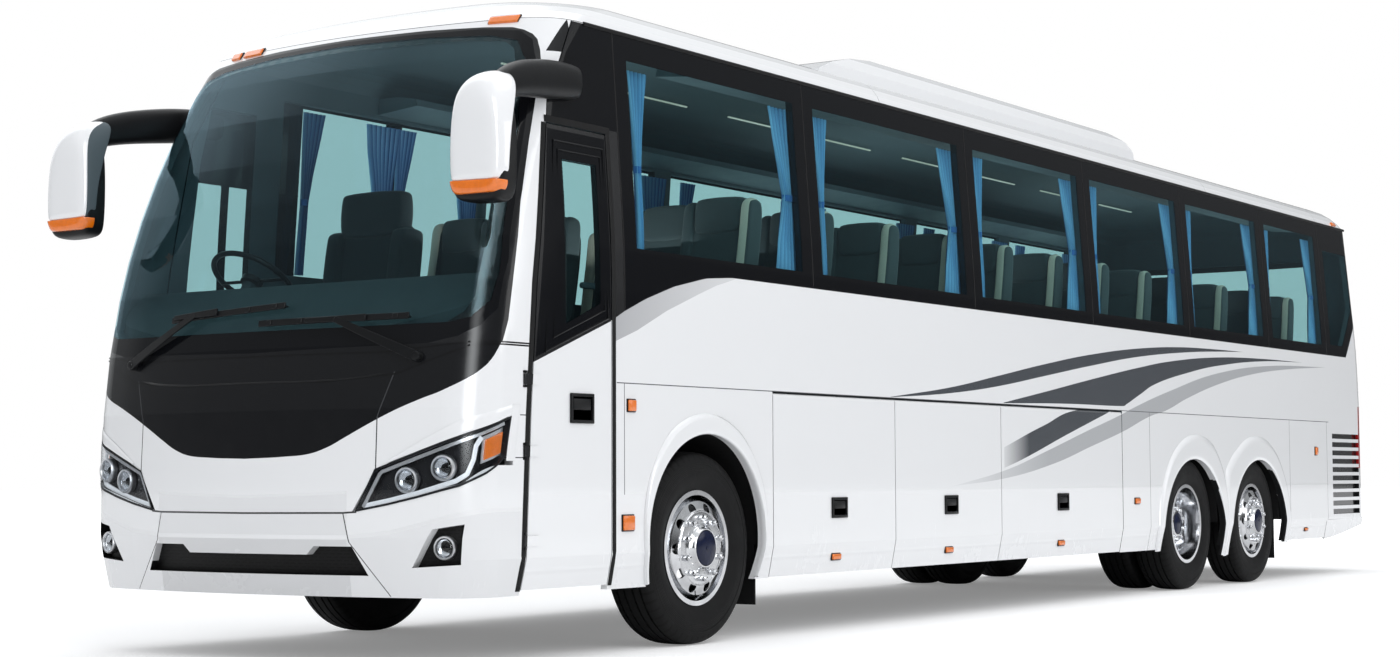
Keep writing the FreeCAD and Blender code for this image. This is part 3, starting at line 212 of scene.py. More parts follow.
def pick(piece, test):
    """Go into edit mode with the faces selected whose middle and normal pass the test."""
    hold(piece)
    bpy.ops.object.mode_set(mode="EDIT")
    bpy.ops.mesh.select_mode(type="FACE")
    bpy.ops.mesh.select_all(action="DESELECT")
    bpy.ops.object.mode_set(mode="OBJECT")
    for face in piece.data.polygons:
        face.select = bool(test(face.center, face.normal))
    bpy.ops.object.mode_set(mode="EDIT")


def settled(piece):
    bpy.ops.object.mode_set(mode="OBJECT")
    return piece


def outwards():
    bpy.ops.mesh.normals_make_consistent(inside=False)


def modify(piece, kind, **settings):
    """Add a modifier and apply it at once."""
    hold(piece)
    modifier = piece.modifiers.new(kind.lower(), kind)
    for key, value in settings.items():
        setattr(modifier, key, value)
    bpy.ops.object.modifier_apply(modifier=modifier.name)
    return piece


def rounded(piece, width, segments=2, angle=30):
    return modify(piece, "BEVEL", width=width, segments=segments, limit_method="ANGLE",
                  angle_limit=math.radians(angle), harden_normals=False)


def smooth(piece, angle=35):
    hold(piece)
    bpy.ops.object.shade_smooth_by_angle(angle=math.radians(angle))
    return piece


def face_of(name, points):
    """A flat face with its corners moved to the points."""
    bpy.ops.object.select_all(action="DESELECT")
    bpy.ops.mesh.primitive_circle_add(vertices=len(points), radius=1.0, fill_type="NGON")
    piece = named(name)
    for corner, point in zip(piece.data.vertices, points):
        corner.co = point
    return piece


def slab(name, points, push, width=0.0, segments=2):
    """The outline pushed out to a solid, with its edges rounded."""
    piece = face_of(name, points)
    edit(piece, lambda: bpy.ops.mesh.extrude_region_move(TRANSFORM_OT_translate={"value": push}), outwards)
    return rounded(piece, width, segments) if width else piece


def block(name, low, high, width=0.0, segments=2):
    """A block between two corners, with its edges rounded."""
    bpy.ops.object.select_all(action="DESELECT")
    bpy.ops.mesh.primitive_cube_add(size=1.0)
    piece = named(name)
    low, high = Vector(low), Vector(high)
    for corner in piece.data.vertices:
        corner.co = Vector((low[i] + (corner.co[i] + 0.5) * (high[i] - low[i]) for i in range(3)))
    return rounded(piece, width, segments) if width else piece


def shaped(piece, move):
    """Move every corner of the piece by a rule."""
    for corner in piece.data.vertices:
        corner.co = move(corner.co.copy())
    return piece


def patch(name, columns, rows, place, thick=0.0):
    """A grid laid where place(u, v) says, u and v running from 0 to 1."""
    bpy.ops.object.select_all(action="DESELECT")
    bpy.ops.mesh.primitive_grid_add(x_subdivisions=columns, y_subdivisions=rows, size=2.0)
    piece = named(name)
    for corner in piece.data.vertices:
        corner.co = place((corner.co.x + 1) / 2, (corner.co.y + 1) / 2)
    if thick:
        edit(piece, outwards)
        modify(piece, "SOLIDIFY", thickness=thick, offset=-1.0)
    return piece


def lathe(name, profile, centre, steps=64, axis=(1, 0, 0)):
    """A closed profile of (outwards along the axis, radius) spun round the axis through centre."""
    centre, axis = Vector(centre), Vector(axis).normalized()
    across = axis.cross(Vector((0.0, 1.0, 0.0))).normalized()
    piece = face_of(name, [centre + axis * a + across * r for a, r in profile])

    def spin():
        bpy.ops.mesh.delete(type="ONLY_FACE")
        bpy.ops.mesh.select_all(action="SELECT")
        bpy.ops.mesh.spin(steps=steps, angle=2 * math.pi, center=centre, axis=axis)
        bpy.ops.mesh.select_all(action="SELECT")
        bpy.ops.mesh.remove_doubles(threshold=0.00002)
        bpy.ops.mesh.dissolve_degenerate(threshold=0.00002)
        bpy.ops.mesh.select_all(action="SELECT")
        outwards()

    return edit(piece, spin)


def tube(name, rings, levels=2):
    """A closed skin through rings of points, its ends capped, then smoothed."""
    count, last = len(rings[0]), len(rings) - 1

    def place(u, v):
        at = v * last
        j = min(last - 1, int(at + 1e-6)) if last else 0
        i = int(round(u * count)) % count
        return Vector(rings[j][i]).lerp(Vector(rings[j + 1][i]), at - j)

    piece = patch(name, count, last, place)

    def close():
        bpy.ops.mesh.remove_doubles(threshold=0.00005)
        bpy.ops.mesh.select_all(action="SELECT")
        bpy.ops.mesh.fill_holes(sides=0)
        bpy.ops.mesh.select_all(action="SELECT")
        outwards()

    edit(piece, close)
    return modify(piece, "SUBSURF", levels=levels, render_levels=levels) if levels else piece


def ring_of(piece, name, count, centre):
    """Copies of a piece spaced evenly round an axis, joined to one piece."""
    centre = Vector(centre)
    pieces = [piece]
    for i in range(1, count):
        turn = Matrix.Rotation(2 * math.pi * i / count, 3, Vector((1, 0, 0)))
        pieces.append(shaped(again(piece, name), lambda v: centre + turn @ (v - centre)))
    return joined(name, pieces)


def rod(name, points, radius, sides=4, closed=False, smooth_line=True):
    """A round bar along a line through the points."""
    bpy.ops.object.select_all(action="DESELECT")
    bpy.ops.curve.primitive_nurbs_path_add()
    piece = named(name)
    curve = piece.data
    curve.splines.clear()
    line = curve.splines.new("NURBS" if smooth_line else "POLY")
    line.points.add(len(points) - 1)
    for knot, point in zip(line.points, points):
        knot.co = (*point, 1.0)
    if smooth_line:
        line.order_u = 3
        line.use_endpoint_u = not closed
        line.resolution_u = 8
    line.use_cyclic_u = closed
    curve.dimensions = "3D"
    curve.bevel_depth = radius
    curve.bevel_resolution = sides
    curve.use_fill_caps = True
    hold(piece)
    bpy.ops.object.convert(target="MESH")
    return named(name)


def again(piece, name, move=None, mirror=False):
    """A copy with its own mesh, moved or mirrored to the other side."""
    hold(piece)
    bpy.ops.object.duplicate()
    copy = named(name)
    if move:
        shaped(copy, lambda v: v + Vector(move))
    if mirror:
        shaped(copy, lambda v: Vector((-v.x, v.y, v.z)))
        edit(copy, lambda: bpy.ops.mesh.flip_normals())
    return copy


def joined(name, pieces):
    hold(*pieces)
    if len(pieces) > 1:
        bpy.ops.object.join()
    return named(name)


def dress(piece, material, body, angle=35):
    """Smooth a finished piece, give it its material and body."""
    smooth(piece, angle)
    piece.data.materials.clear()
    piece.data.materials.append(material)
    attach(piece, body)
    return piece


def both_sides(piece, name, material, bodies, angle=35):
    """Dress a piece of the left side and its mirror image."""
    other = again(piece, name + "_right", mirror=True)
    piece.name = name + "_left"
    dress(piece, material, bodies[0], angle)
    dress(other, material, bodies[1], angle)
    return piece, other


# ---- mixing finishes ----------------------------------------------------------------------------
def tone(r, g, b):
    """A colour as written on a paint card, from 0 to 255."""
    def straight(c):
        c /= 255
        return c / 12.92 if c <= 0.04045 else ((c + 0.055) / 1.055) ** 2.4
    return (straight(r), straight(g), straight(b), 1.0)


class Reading:
    """A number that changes over a surface, for sums inside a material."""

    def __init__(self, tree, socket):
        self.tree, self.socket = tree, socket

    def sum(self, operation, *others):
        node = self.tree.nodes.new("ShaderNodeMath")
        node.operation = operation
        for place, term in zip(node.inputs, (self,) + others):
            if isinstance(term, Reading):
                self.tree.links.new(term.socket, place)
            else:
                place.default_value = term
        return Reading(self.tree, node.outputs[0])

    def __add__(self, other): return self.sum("ADD", other)
    def __sub__(self, other): return self.sum("SUBTRACT", other)
    def __rsub__(self, other): return self * -1.0 + other
    def __mul__(self, other): return self.sum("MULTIPLY", other)
    def __truediv__(self, other): return self.sum("DIVIDE", other)
    def __gt__(self, other): return self.sum("GREATER_THAN", other)
    def __lt__(self, other): return self.sum("LESS_THAN", other)
    def __or__(self, other): return self.sum("MAXIMUM", other)
    def size(self): return self.sum("ABSOLUTE")
    def between(self, low, high): return (self > low) * (self < high)
    def off(self): return self * -1.0 + 1.0

    def ramp(self, low, high):
        """0 below low and 1 above high, or the other way round."""
        return ((self - low) / (high - low)).sum("MINIMUM", 1.0).sum("MAXIMUM", 0.0)

    def read_off(self, points, soft=False):
        """What a drawn line of points gives for this number."""
        x0, x1 = points[0][0], points[-1][0]
        y0, y1 = min(p[1] for p in points), max(p[1] for p in points)
        node = self.tree.nodes.new("ShaderNodeFloatCurve")
        self.tree.links.new(((self - x0) / (x1 - x0)).socket, node.inputs["Value"])
        line = node.mapping.curves[0]
        spots = [((x - x0) / (x1 - x0), (y - y0) / (y1 - y0)) for x, y in points]
        line.points[0].location, line.points[1].location = spots[0], spots[-1]
        for spot in spots[1:-1]:
            line.points.new(*spot)
        for spot in line.points:
            spot.handle_type = "AUTO_CLAMPED" if soft else "VECTOR"
        node.mapping.update()
        return Reading(self.tree, node.outputs[0]) * (y1 - y0) + y0


def add_node(tree, kind, settings=None, **inputs):
    node = tree.nodes.new(kind)
    for key, value in (settings or {}).items():
        setattr(node, key, value)
    for key, value in inputs.items():
        socket = node.inputs[key.replace("_", " ")]
        if isinstance(value, Reading):
            value = value.socket
        if isinstance(value, bpy.types.NodeSocket):
            tree.links.new(value, socket)
        else:
            socket.default_value = value
    return node


def places(tree):
    """Readings of the place on the piece: X, Y and Z."""
    here = add_node(tree, "ShaderNodeTexCoord")
    split = add_node(tree, "ShaderNodeSeparateXYZ", Vector=here.outputs["Object"])
    return [Reading(tree, socket) for socket in split.outputs]


def mix(tree, mask, first, second):
    """Colour: first where the mask is 0, second where it is 1."""
    node = add_node(tree, "ShaderNodeMix", {"data_type": "RGBA"})
    for place, value in ((node.inputs[0], mask), (node.inputs[6], first), (node.inputs[7], second)):
        if isinstance(value, Reading):
            value = value.socket
        if isinstance(value, bpy.types.NodeSocket):
            tree.links.new(value, place)
        else:
            place.default_value = value
    return node.outputs[2]


def either(masks):
    """1 where any of the masks is 1."""
    first, *others = masks
    for mask in others:
        first = first | mask
    return first


def wire(tree, *pairs):
    """Lead each value to the place it is paired with."""
    for place, value in pairs:
        tree.links.new(value.socket if isinstance(value, Reading) else value, place)


def blend(tree, share, first, second):
    """Shader: first where the share is 0, second where it is 1."""
    node = add_node(tree, "ShaderNodeMixShader")
    wire(tree, (node.inputs[0], share), (node.inputs[1], first), (node.inputs[2], second))
    return node.outputs[0]


def shaded(colour, share):
    """The colour made lighter or darker."""
    return tuple(c * share for c in colour[:3]) + (1,)


def effect(name, inputs, outputs, fill):
    """A node group with named inputs and outputs."""
    tree = bpy.data.node_groups.new(name, "ShaderNodeTree")
    for label, value in inputs:
        socket = tree.interface.new_socket(name=label, in_out="INPUT", socket_type="NodeSocketFloat")
        socket.default_value = value
    for label in outputs:
        tree.interface.new_socket(name=label, in_out="OUTPUT", socket_type="NodeSocketFloat")
    given = tree.nodes.new("NodeGroupInput")
    result = tree.nodes.new("NodeGroupOutput")
    readings = fill(tree, *[Reading(tree, given.outputs[label]) for label, _ in inputs])
    for label, reading in zip(outputs, readings):
        tree.links.new(reading.socket, result.inputs[label])
    return tree


def use(tree, group, **inputs):
    node = add_node(tree, "ShaderNodeGroup", {"node_tree": group}, **inputs)
    return [Reading(tree, socket) for socket in node.outputs]


def noise(tree, scale, detail=3.0, rough=0.5, stretch=None):
    here = add_node(tree, "ShaderNodeTexCoord").outputs["Object"]
    if stretch:
        here = add_node(tree, "ShaderNodeMapping", Vector=here, Scale=stretch).outputs[0]
    node = add_node(tree, "ShaderNodeTexNoise", Vector=here, Scale=scale, Detail=detail, Roughness=rough)
    return Reading(tree, node.outputs["Fac"])


def road_dust(tree, reach):
    """Grey film that thins out upwards, patchy."""
    _, _, z = places(tree)
    return [z.ramp(reach, 0.25) * noise(tree, 2.2, 5.0, 0.65).ramp(0.35, 0.75)]


def grain(tree, scale, depth):
    """Leathery grain of moulded plastic."""
    here = add_node(tree, "ShaderNodeTexCoord").outputs["Object"]
    cells = add_node(tree, "ShaderNodeTexVoronoi", {"feature": "SMOOTH_F1"}, Vector=here, Scale=scale)
    fine = add_node(tree, "ShaderNodeTexNoise", Vector=here, Scale=scale, Detail=4.0)
    return [(Reading(tree, cells.outputs["Distance"]) + Reading(tree, fine.outputs["Fac"])) * depth]


def weave(tree, scale, depth):
    """Two crossing sets of threads, and how deep each spot lies."""
    x, y, z = places(tree)
    one = ((x + y * 0.35) * scale).sum("SINE")
    two = ((z + y * 0.35) * scale).sum("SINE")
    threads = (one * two) * 0.5 + 0.5
    return [threads * depth, threads]


def wear(tree, scale, share):
    """Fine smudges and hairlines."""
    cloudy = noise(tree, scale, 6.0, 0.7)
    hair = noise(tree, scale * 3.0, 2.0, 0.5, (1.0, 12.0, 1.0))
    return [(cloudy.ramp(0.45, 0.8) * 0.6 + hair.ramp(0.55, 0.75) * 0.4) * share]


DUST = effect("road_dust", [("Reach", 0.9)], ["Mask"], road_dust)
GRAIN = effect("moulded_grain", [("Scale", 400.0), ("Depth", 0.001)], ["Height"], grain)
WEAVE = effect("thread_weave", [("Scale", 2600.0), ("Depth", 0.0006)], ["Height", "Shade"], weave)
WEAR = effect("smudges", [("Scale", 6.0), ("Share", 0.2)], ["Mask"], wear)


def material(name):
    made = bpy.data.materials.new(name)
    made.use_nodes = True
    made.node_tree.nodes.clear()
    output = made.node_tree.nodes.new("ShaderNodeOutputMaterial")
    return made, made.node_tree, output


def surface(name, colour, roughness, height=None, bump=0.3, metallic=0.0, coat=0.0, **plain):
    """A finish from functions of its node tree: colour(tree), roughness(tree) and height(tree)."""
    made, tree, output = material(name)
    shader = tree.nodes.new("ShaderNodeBsdfPrincipled")
    for key, value in plain.items():
        shader.inputs[key.replace("_", " ")].default_value = value
    shader.inputs["Metallic"].default_value = metallic
    shader.inputs["Coat Weight"].default_value = coat
    shader.inputs["Coat Roughness"].default_value = 0.03
    for socket, value in (("Base Color", colour), ("Roughness", roughness)):
        value = value(tree) if callable(value) else value
        value = value.socket if isinstance(value, Reading) else value
        if isinstance(value, bpy.types.NodeSocket):
            tree.links.new(value, shader.inputs[socket])
        else:
            shader.inputs[socket].default_value = value
    if height:
        push = add_node(tree, "ShaderNodeBump", Height=height(tree), Strength=bump, Distance=1.0)
        tree.links.new(push.outputs[0], shader.inputs["Normal"])
    tree.links.new(shader.outputs[0], output.inputs["Surface"])
    return made


# ---- paint --------------------------------------------------------------------------------------
WHITE = tone(236, 237, 239)
BLACK = tone(16, 17, 20)
INNER = tone(74, 86, 92)
STRIPE_DARK = tone(70, 74, 80)
STRIPE_LIGHT = tone(181, 183, 186)
# painted shade on the floors of the louvre slots
SLOT_SHADE = tone(9, 9, 11)
SEAM = 0.0028               # half width of a joint between side panels
SMILE = [(0.0, 0.972), (0.25, 0.98), (0.4, 0.992), (0.5, 1.02), (0.6, 1.066), (0.7, 1.115), (0.8, 1.162),
         (0.9, 1.205), (1.0, 1.243), (1.1, 1.279), (1.2, 1.335), (1.24, 1.378), (1.262, 1.43), (1.275, 1.53)]
PILLAR_LINE = [(1.38, -1.40), (1.50, -1.40), (1.505, -1.718), (1.611, -1.675), (1.80, -1.64), (2.18, -1.563),
               (2.469, -1.471), (2.721, -1.376), (2.90, -1.303), (2.95, -1.288), (2.96, -1.10), (3.2, -1.10)]
HEADER_LINE = [(0.0, 3.112), (0.5, 3.108), (0.84, 3.095), (1.0, 3.082), (1.064, 3.064), (1.11, 3.04),
               (1.137, 3.012), (1.165, 2.95), (1.18, 2.897), (1.185, 3.2), (1.3, 3.2)]
PANE_LINE = [(-1.6, 1.20), (-1.46, 1.43), (-0.862, 1.648), (-0.74, 1.706), (-0.56, 1.777), (-0.30, 1.858),
             (0.0, 1.921), (0.25, 1.942), (11.3, 1.942)]
SWOOSH_LINE = [(-0.84, 1.545), (-0.633, 1.615), (-0.365, 1.73), (-0.066, 1.835), (0.1, 1.89), (0.30, 1.94)]
# each stripe: upper and lower edge as (station, height), colour, and where its front end fades in
STRIPES = [
    ([(2.0, 1.352), (2.74, 1.428), (3.45, 1.528), (4.142, 1.629), (4.932, 1.73), (5.791, 1.811), (6.6, 1.857),
      (7.265, 1.872), (7.95, 1.879)],
     [(2.0, 1.350), (2.5, 1.377), (2.958, 1.411), (3.411, 1.456), (4.139, 1.549), (4.929, 1.651),
      (5.789, 1.75), (6.727, 1.823), (7.264, 1.852), (7.95, 1.879)], STRIPE_DARK, None),
    ([(3.525, 1.356), (4.136, 1.441), (4.925, 1.554), (5.785, 1.67), (6.402, 1.741), (7.399, 1.812),
      (8.341, 1.84), (9.367, 1.849)],
     [(3.525, 1.352), (4.5, 1.372), (5.49, 1.380), (5.53, 1.391), (5.80, 1.474), (6.083, 1.557),
      (6.719, 1.663), (7.396, 1.746), (8.492, 1.825), (9.367, 1.849)], STRIPE_DARK, None),
    ([(2.79, 0.814), (3.536, 0.914), (4.173, 1.044), (4.803, 1.182), (5.478, 1.325), (5.625, 1.361),
      (6.392, 1.519), (7.393, 1.687), (8.49, 1.785), (10.0, 1.832)],
     [(2.79, 0.814), (3.535, 0.862), (4.272, 0.958), (4.908, 1.083), (5.473, 1.196), (6.011, 1.322),
      (6.259, 1.36), (6.71, 1.467), (7.388, 1.599), (8.109, 1.7), (8.877, 1.768), (10.0, 1.832)],
     STRIPE_LIGHT, (2.6, 4.2)),
    ([(3.526, 1.064), (4.128, 1.215), (4.728, 1.336), (5.26, 1.338)],
     [(3.526, 0.93), (3.776, 0.982), (4.484, 1.155), (5.26, 1.338)], STRIPE_DARK, (3.45, 3.9)),
]


def outside(tree, x, y, z):
    """1 on the faces of a shell that look away from the middle of the coach."""
    here = add_node(tree, "ShaderNodeTexCoord")
    split = add_node(tree, "ShaderNodeSeparateXYZ", Vector=here.outputs["Normal"])
    nx, ny, nz = [Reading(tree, socket) for socket in split.outputs]
    return nx * x * 1.5 + ny * y * 0.6 + nz * (z - 2.3) > 0.0


def groove(reading, line, half):
    """1 within half a width of a drawn line."""
    return (reading - line).size() < half


def painted(name, marks, creases=None):
    """White coach paint with marks(x, station, z) -> [(mask, colour)] laid over it, dark inside."""
    made, tree, output = material(name)
    x, y, z = places(tree)
    colour = WHITE
    station = y - FRONT_AXLE
    marked = marks(x, station, z)
    for mask, shade in marked:
        colour = mix(tree, mask, colour, shade)
    dust, = use(tree, DUST, Reach=0.8)
    colour = mix(tree, dust * 0.03, colour, tone(150, 143, 132))
    skin = outside(tree, x, y, z)
    inner = mix(tree, z > FLOOR_Z - 0.03, tone(13, 14, 16), INNER)
    colour = mix(tree, skin, inner, colour)
    smudge, = use(tree, WEAR, Scale=3.0, Share=0.06)
    rough = smudge + 0.22 + skin.off() * 0.4 + dust * 0.12
    orange_peel = noise(tree, 260.0, 2.0) * 0.00004
    height = orange_peel + creases(x, station, z) if creases else orange_peel
    push = add_node(tree, "ShaderNodeBump", Height=height, Strength=1.0, Distance=1.0)
    shader = add_node(tree, "ShaderNodeBsdfPrincipled", Base_Color=colour, Roughness=rough,
                      Normal=push.outputs[0])
    shader.inputs["Specular IOR Level"].default_value = 0.3
    blacks = [mask for mask, shade in marked if shade is BLACK]
    gloss = skin * (either(blacks).off() * 0.75 + 0.25) if blacks else skin
    shader.inputs["Coat Roughness"].default_value = 0.04
    wire(tree, (shader.inputs["Coat Weight"], gloss), (output.inputs["Surface"], shader.outputs[0]))
    return made


def side_marks(x, s, z):
    """Black glazing band, grey sweep under it and the stripes behind the middle."""
    pane_line = s.read_off(PANE_LINE)
    swoosh = (z < pane_line) * (z > s.read_off(SWOOSH_LINE)) * s.between(-0.84, 0.3)
    marks = [(swoosh * s.ramp(0.9, -0.9), tone(176, 177, 180))]
    for top, low, shade, fade in STRIPES:
        inside = (z < s.read_off(top, True)) * (z > s.read_off(low, True)) * s.between(top[0][0], top[-1][0])
        marks.append((inside * s.ramp(*fade) if fade else inside, shade))
    band = (z > pane_line) * (z < GLASS_TOP) * (s < 10.06)
    marks.append((band | (quarter_print(s, z) * (s > 10.04)), BLACK))
    seams = [groove(z, LEDGE_Z, SEAM) * (s > -0.81)]
    for station, low in ((-0.745, 0.79), (5.962, 0.30), (9.010, 0.30), (9.984, 0.30)):
        seams.append(groove(s, station, SEAM) * z.between(low, LEDGE_Z))
    # the louvre slot floors get painted shade, near black
    return marks + [(either(seams), tone(104, 106, 110)), (slots(x, s, z), SLOT_SHADE)]


def quarter_print(s, z):
    """1 on the black print round the quarter pane."""
    return z.between(SILL_Z, 3.126) * (s < z.read_off([(1.94, 10.57), (2.40, 11.01), (2.52, 11.01), (3.126, 10.87)]))


def slots(x, s, z):
    """1 on the floors of the louvre slots, which are painted near black as the shade inside them."""
    return (x.size() < HALF_WIDTH - 0.003) * z.between(0.40, 1.335) * s.between(9.99, 11.0)


def side_creases(x, s, z):
    """Two long pressed lines along the lower side."""
    body = z.between(0.3, 1.3)
    step = z.read_off([(0.30, 0.004), (0.42, 0.004), (0.436, 0.0075), (0.45, 0.004), (0.775, 0.004),
                       (0.792, 0.0066), (0.805, 0.0), (1.34, 0.0)])
    return step * body * 0.6


def nose_marks(x, s, z):
    """Black mask from the windscreen down to the smile line, and the joints of the nose panels."""
    wide = x.size()
    black = (z > wide.read_off(SMILE, True)) * (s < z.read_off(PILLAR_LINE)) * (z < wide.read_off(HEADER_LINE))
    joint = groove(wide, z.read_off([(0.90, 0.776), (1.16, 0.775), (1.37, 0.85)]), 0.003) * z.between(0.90, 1.37)
    flap = groove(z, wide.read_off([(0.0, 1.335), (0.47, 1.33), (0.86, 1.36), (1.21, 1.485), (1.3, 1.5)]), 0.004)
    cowl = groove(z, wide.read_off([(0.0, 1.462), (0.6, 1.463), (0.8, 1.463), (1.2, 1.50)]), 0.004)
    split = groove(wide, z.read_off([(0.33, 0.83), (0.35, 0.815), (0.58, 0.632), (0.60, 0.628), (0.716, 0.60)]),
                   0.003) * z.between(0.33, 0.712)
    side = (groove(z, 1.17, 0.0025) | groove(z, 0.97, 0.0025)) * s.between(-1.69, -1.53)
    sill = groove(z, wide.read_off([(0.0, 0.713), (0.60, 0.716), (0.70, 0.722)]), 0.0045) * (wide < 0.675)
    dark = tone(60, 61, 64)
    return [(black, BLACK), (sill, tone(30, 31, 33)), (joint | split | side, dark), (flap | cowl, tone(6, 6, 8))]


def nose_creases(x, s, z):
    """Soft shelf over the number plate and a crest above the bumper."""
    wide = x.size()
    shelf = (z - wide.read_off([(0.0, 0.79), (0.55, 0.805), (0.8, 0.83)])).read_off(
        [(-0.02, 0.0), (-0.004, 0.006), (0.008, 0.0), (0.03, 0.0)]) * (wide < 0.62)
    crest = (z - wide.read_off([(0.0, 0.592), (0.6, 0.592), (0.85, 0.615), (1.2, 0.70)])).read_off(
        [(-0.03, 0.0), (0.0, 0.009), (0.02, 0.0), (0.03, 0.0)])
    return shelf + crest


def door_marks(x, s, z):
    """Black upper part of the passenger door over its white lower part."""
    black = z > s.read_off([(-1.56, 1.394), (-1.46, 1.43), (-0.86, 1.648), (-0.80, 1.67)])
    return [(black, BLACK), (s < z.read_off(NOSE_LINE), BLACK)]


def roof_marks(x, s, z):
    """Thin dark drip line along the edge of the roof and the joints across it."""
    joints = either([groove(s, station, 0.0025) for station in (2.05, 7.4, 10.04)])
    return [(joints, tone(150, 151, 154)), (z < 3.134, BLACK)]


def tail_marks(x, s, z):
    """Black round the rear window and the quarter pane, joints of the tail panels."""
    wide = x.size()
    window = (wide < 0.955) * z.between(1.92, 2.965) * (s > 10.5)
    joint = (groove(z, 0.69, 0.003) | groove(z, 1.70, 0.003)) * (s > 10.9)
    # the louvre slots at the rear corners get painted shade, near black
    return [(quarter_print(s, z) * (wide > 1.0), BLACK), (window, BLACK), (joint, tone(70, 71, 74)),
            (slots(x, s, z) * (wide > 1.15), SLOT_SHADE)]


def make_paints():
    return {
        "side": painted("side_paint", side_marks, side_creases),
        "nose": painted("nose_paint", nose_marks, nose_creases),
        "door": painted("door_paint", door_marks, side_creases),
        "roof": painted("roof_paint", roof_marks),
        "tail": painted("tail_paint", tail_marks),
        "plain": painted("panel_paint", lambda x, s, z: []),
    }


# ---- glass --------------------------------------------------------------------------------------
def outside_shine(tree, ior):
    """Mirror share of a pane's outer face; its inner face, seen from behind, mirrors nothing."""
    fresnel = add_node(tree, "ShaderNodeFresnel", IOR=ior)
    facing = add_node(tree, "ShaderNodeNewGeometry")
    return Reading(tree, fresnel.outputs[0]) * Reading(tree, facing.outputs["Backfacing"]).off()


def glazing(name, clear, tint):
    """Tinted pane: clear(x, s, z) is 1 where it lets light through, black print elsewhere."""
    made, tree, output = material(name)
    x, y, z = places(tree)
    through = add_node(tree, "ShaderNodeBsdfTransparent", Color=tint)
    pane = add_node(tree, "ShaderNodeBsdfGlossy", Color=(0.62, 0.86, 1.0, 1.0), Roughness=0.02)
    smudge, = use(tree, WEAR, Scale=2.0, Share=0.05)
    printed = add_node(tree, "ShaderNodeBsdfPrincipled", Base_Color=BLACK, Roughness=smudge + 0.06)
    printed.inputs["Specular IOR Level"].default_value = 0.16
    see = blend(tree, outside_shine(tree, 1.30), through.outputs[0], pane.outputs[0])
    both = blend(tree, clear(x, y - FRONT_AXLE, z), printed.outputs[0], see)
    wire(tree, (output.inputs["Surface"], both))
    return made


TINT = (0.715, 0.84, 0.845, 1.0)


def side_clear(x, s, z):
    """The clear middle of each side pane, inside its black print."""
    panes = either([s.between(front + 0.112, back - 0.108) for front, back in zip(DIVIDERS, DIVIDERS[1:])])
    right = x < 0.0
    driver = s.between(-1.27, -0.745) * s.between(-1.04, -0.985).off() * (
        z > s.read_off([(-1.33, 1.61), (-1.16, 1.62), (-0.79, 1.80)])) * (z < 2.49)
    bars = (s < -0.44) | s.between(0.28, 0.42)
    return (panes * (bars * right).off() * z.between(2.03, 2.995)) | quarter_clear(s, z) | (driver * right)


def quarter_clear(s, z):
    """The clear middle of the quarter pane behind the last divider."""
    return s.between(10.16, 10.82) * (z > s.read_off([(10.1, 2.04), (10.5, 2.04), (10.85, 2.42)])) * (z < 2.89)


def screen_clear(x, s, z):
    """The clear middle of the windscreen."""
    wide = x.size()
    low = wide.read_off([(0.0, 1.586), (0.6, 1.588), (1.10, 1.596), (1.19, 1.62), (1.245, 1.70), (1.26, 1.9)])
    top = wide.read_off([(0.0, 3.075), (0.53, 3.066), (0.91, 3.042), (1.06, 3.005), (1.13, 2.90), (1.196, 2.554),
                         (1.226, 2.285), (1.25, 1.95), (1.26, 1.7)])
    return (z > low) * (z < top)


def door_clear(x, s, z):
    """The clear middle of the passenger door's pane."""
    return (z > s.read_off([(-1.30, 1.60), (-1.22, 1.62), (-0.96, 1.725), (-0.90, 1.76)])) * (z < 2.42) * s.between(
        -1.232, -0.945)


def tail_clear(x, s, z):
    """The clear middle of the rear window and of the quarter panes."""
    wide = x.size()
    return ((wide < 0.83) * z.between(2.05, 2.83)) | ((wide > 1.0) * quarter_clear(s, z))


def clear_plastic(name, tint):
    """Clear moulded cover: see-through, glossy, faintly scuffed."""
    made, tree, output = material(name)
    scuff, = use(tree, WEAR, Scale=30.0, Share=0.06)
    through = add_node(tree, "ShaderNodeBsdfTransparent", Color=mix(tree, scuff, tint, tone(214, 218, 220)))
    shine = add_node(tree, "ShaderNodeBsdfGlossy", Color=(1, 1, 1, 1), Roughness=0.03)
    see = blend(tree, outside_shine(tree, 1.40), through.outputs[0], shine.outputs[0])
    wire(tree, (output.inputs["Surface"], see))
    return made


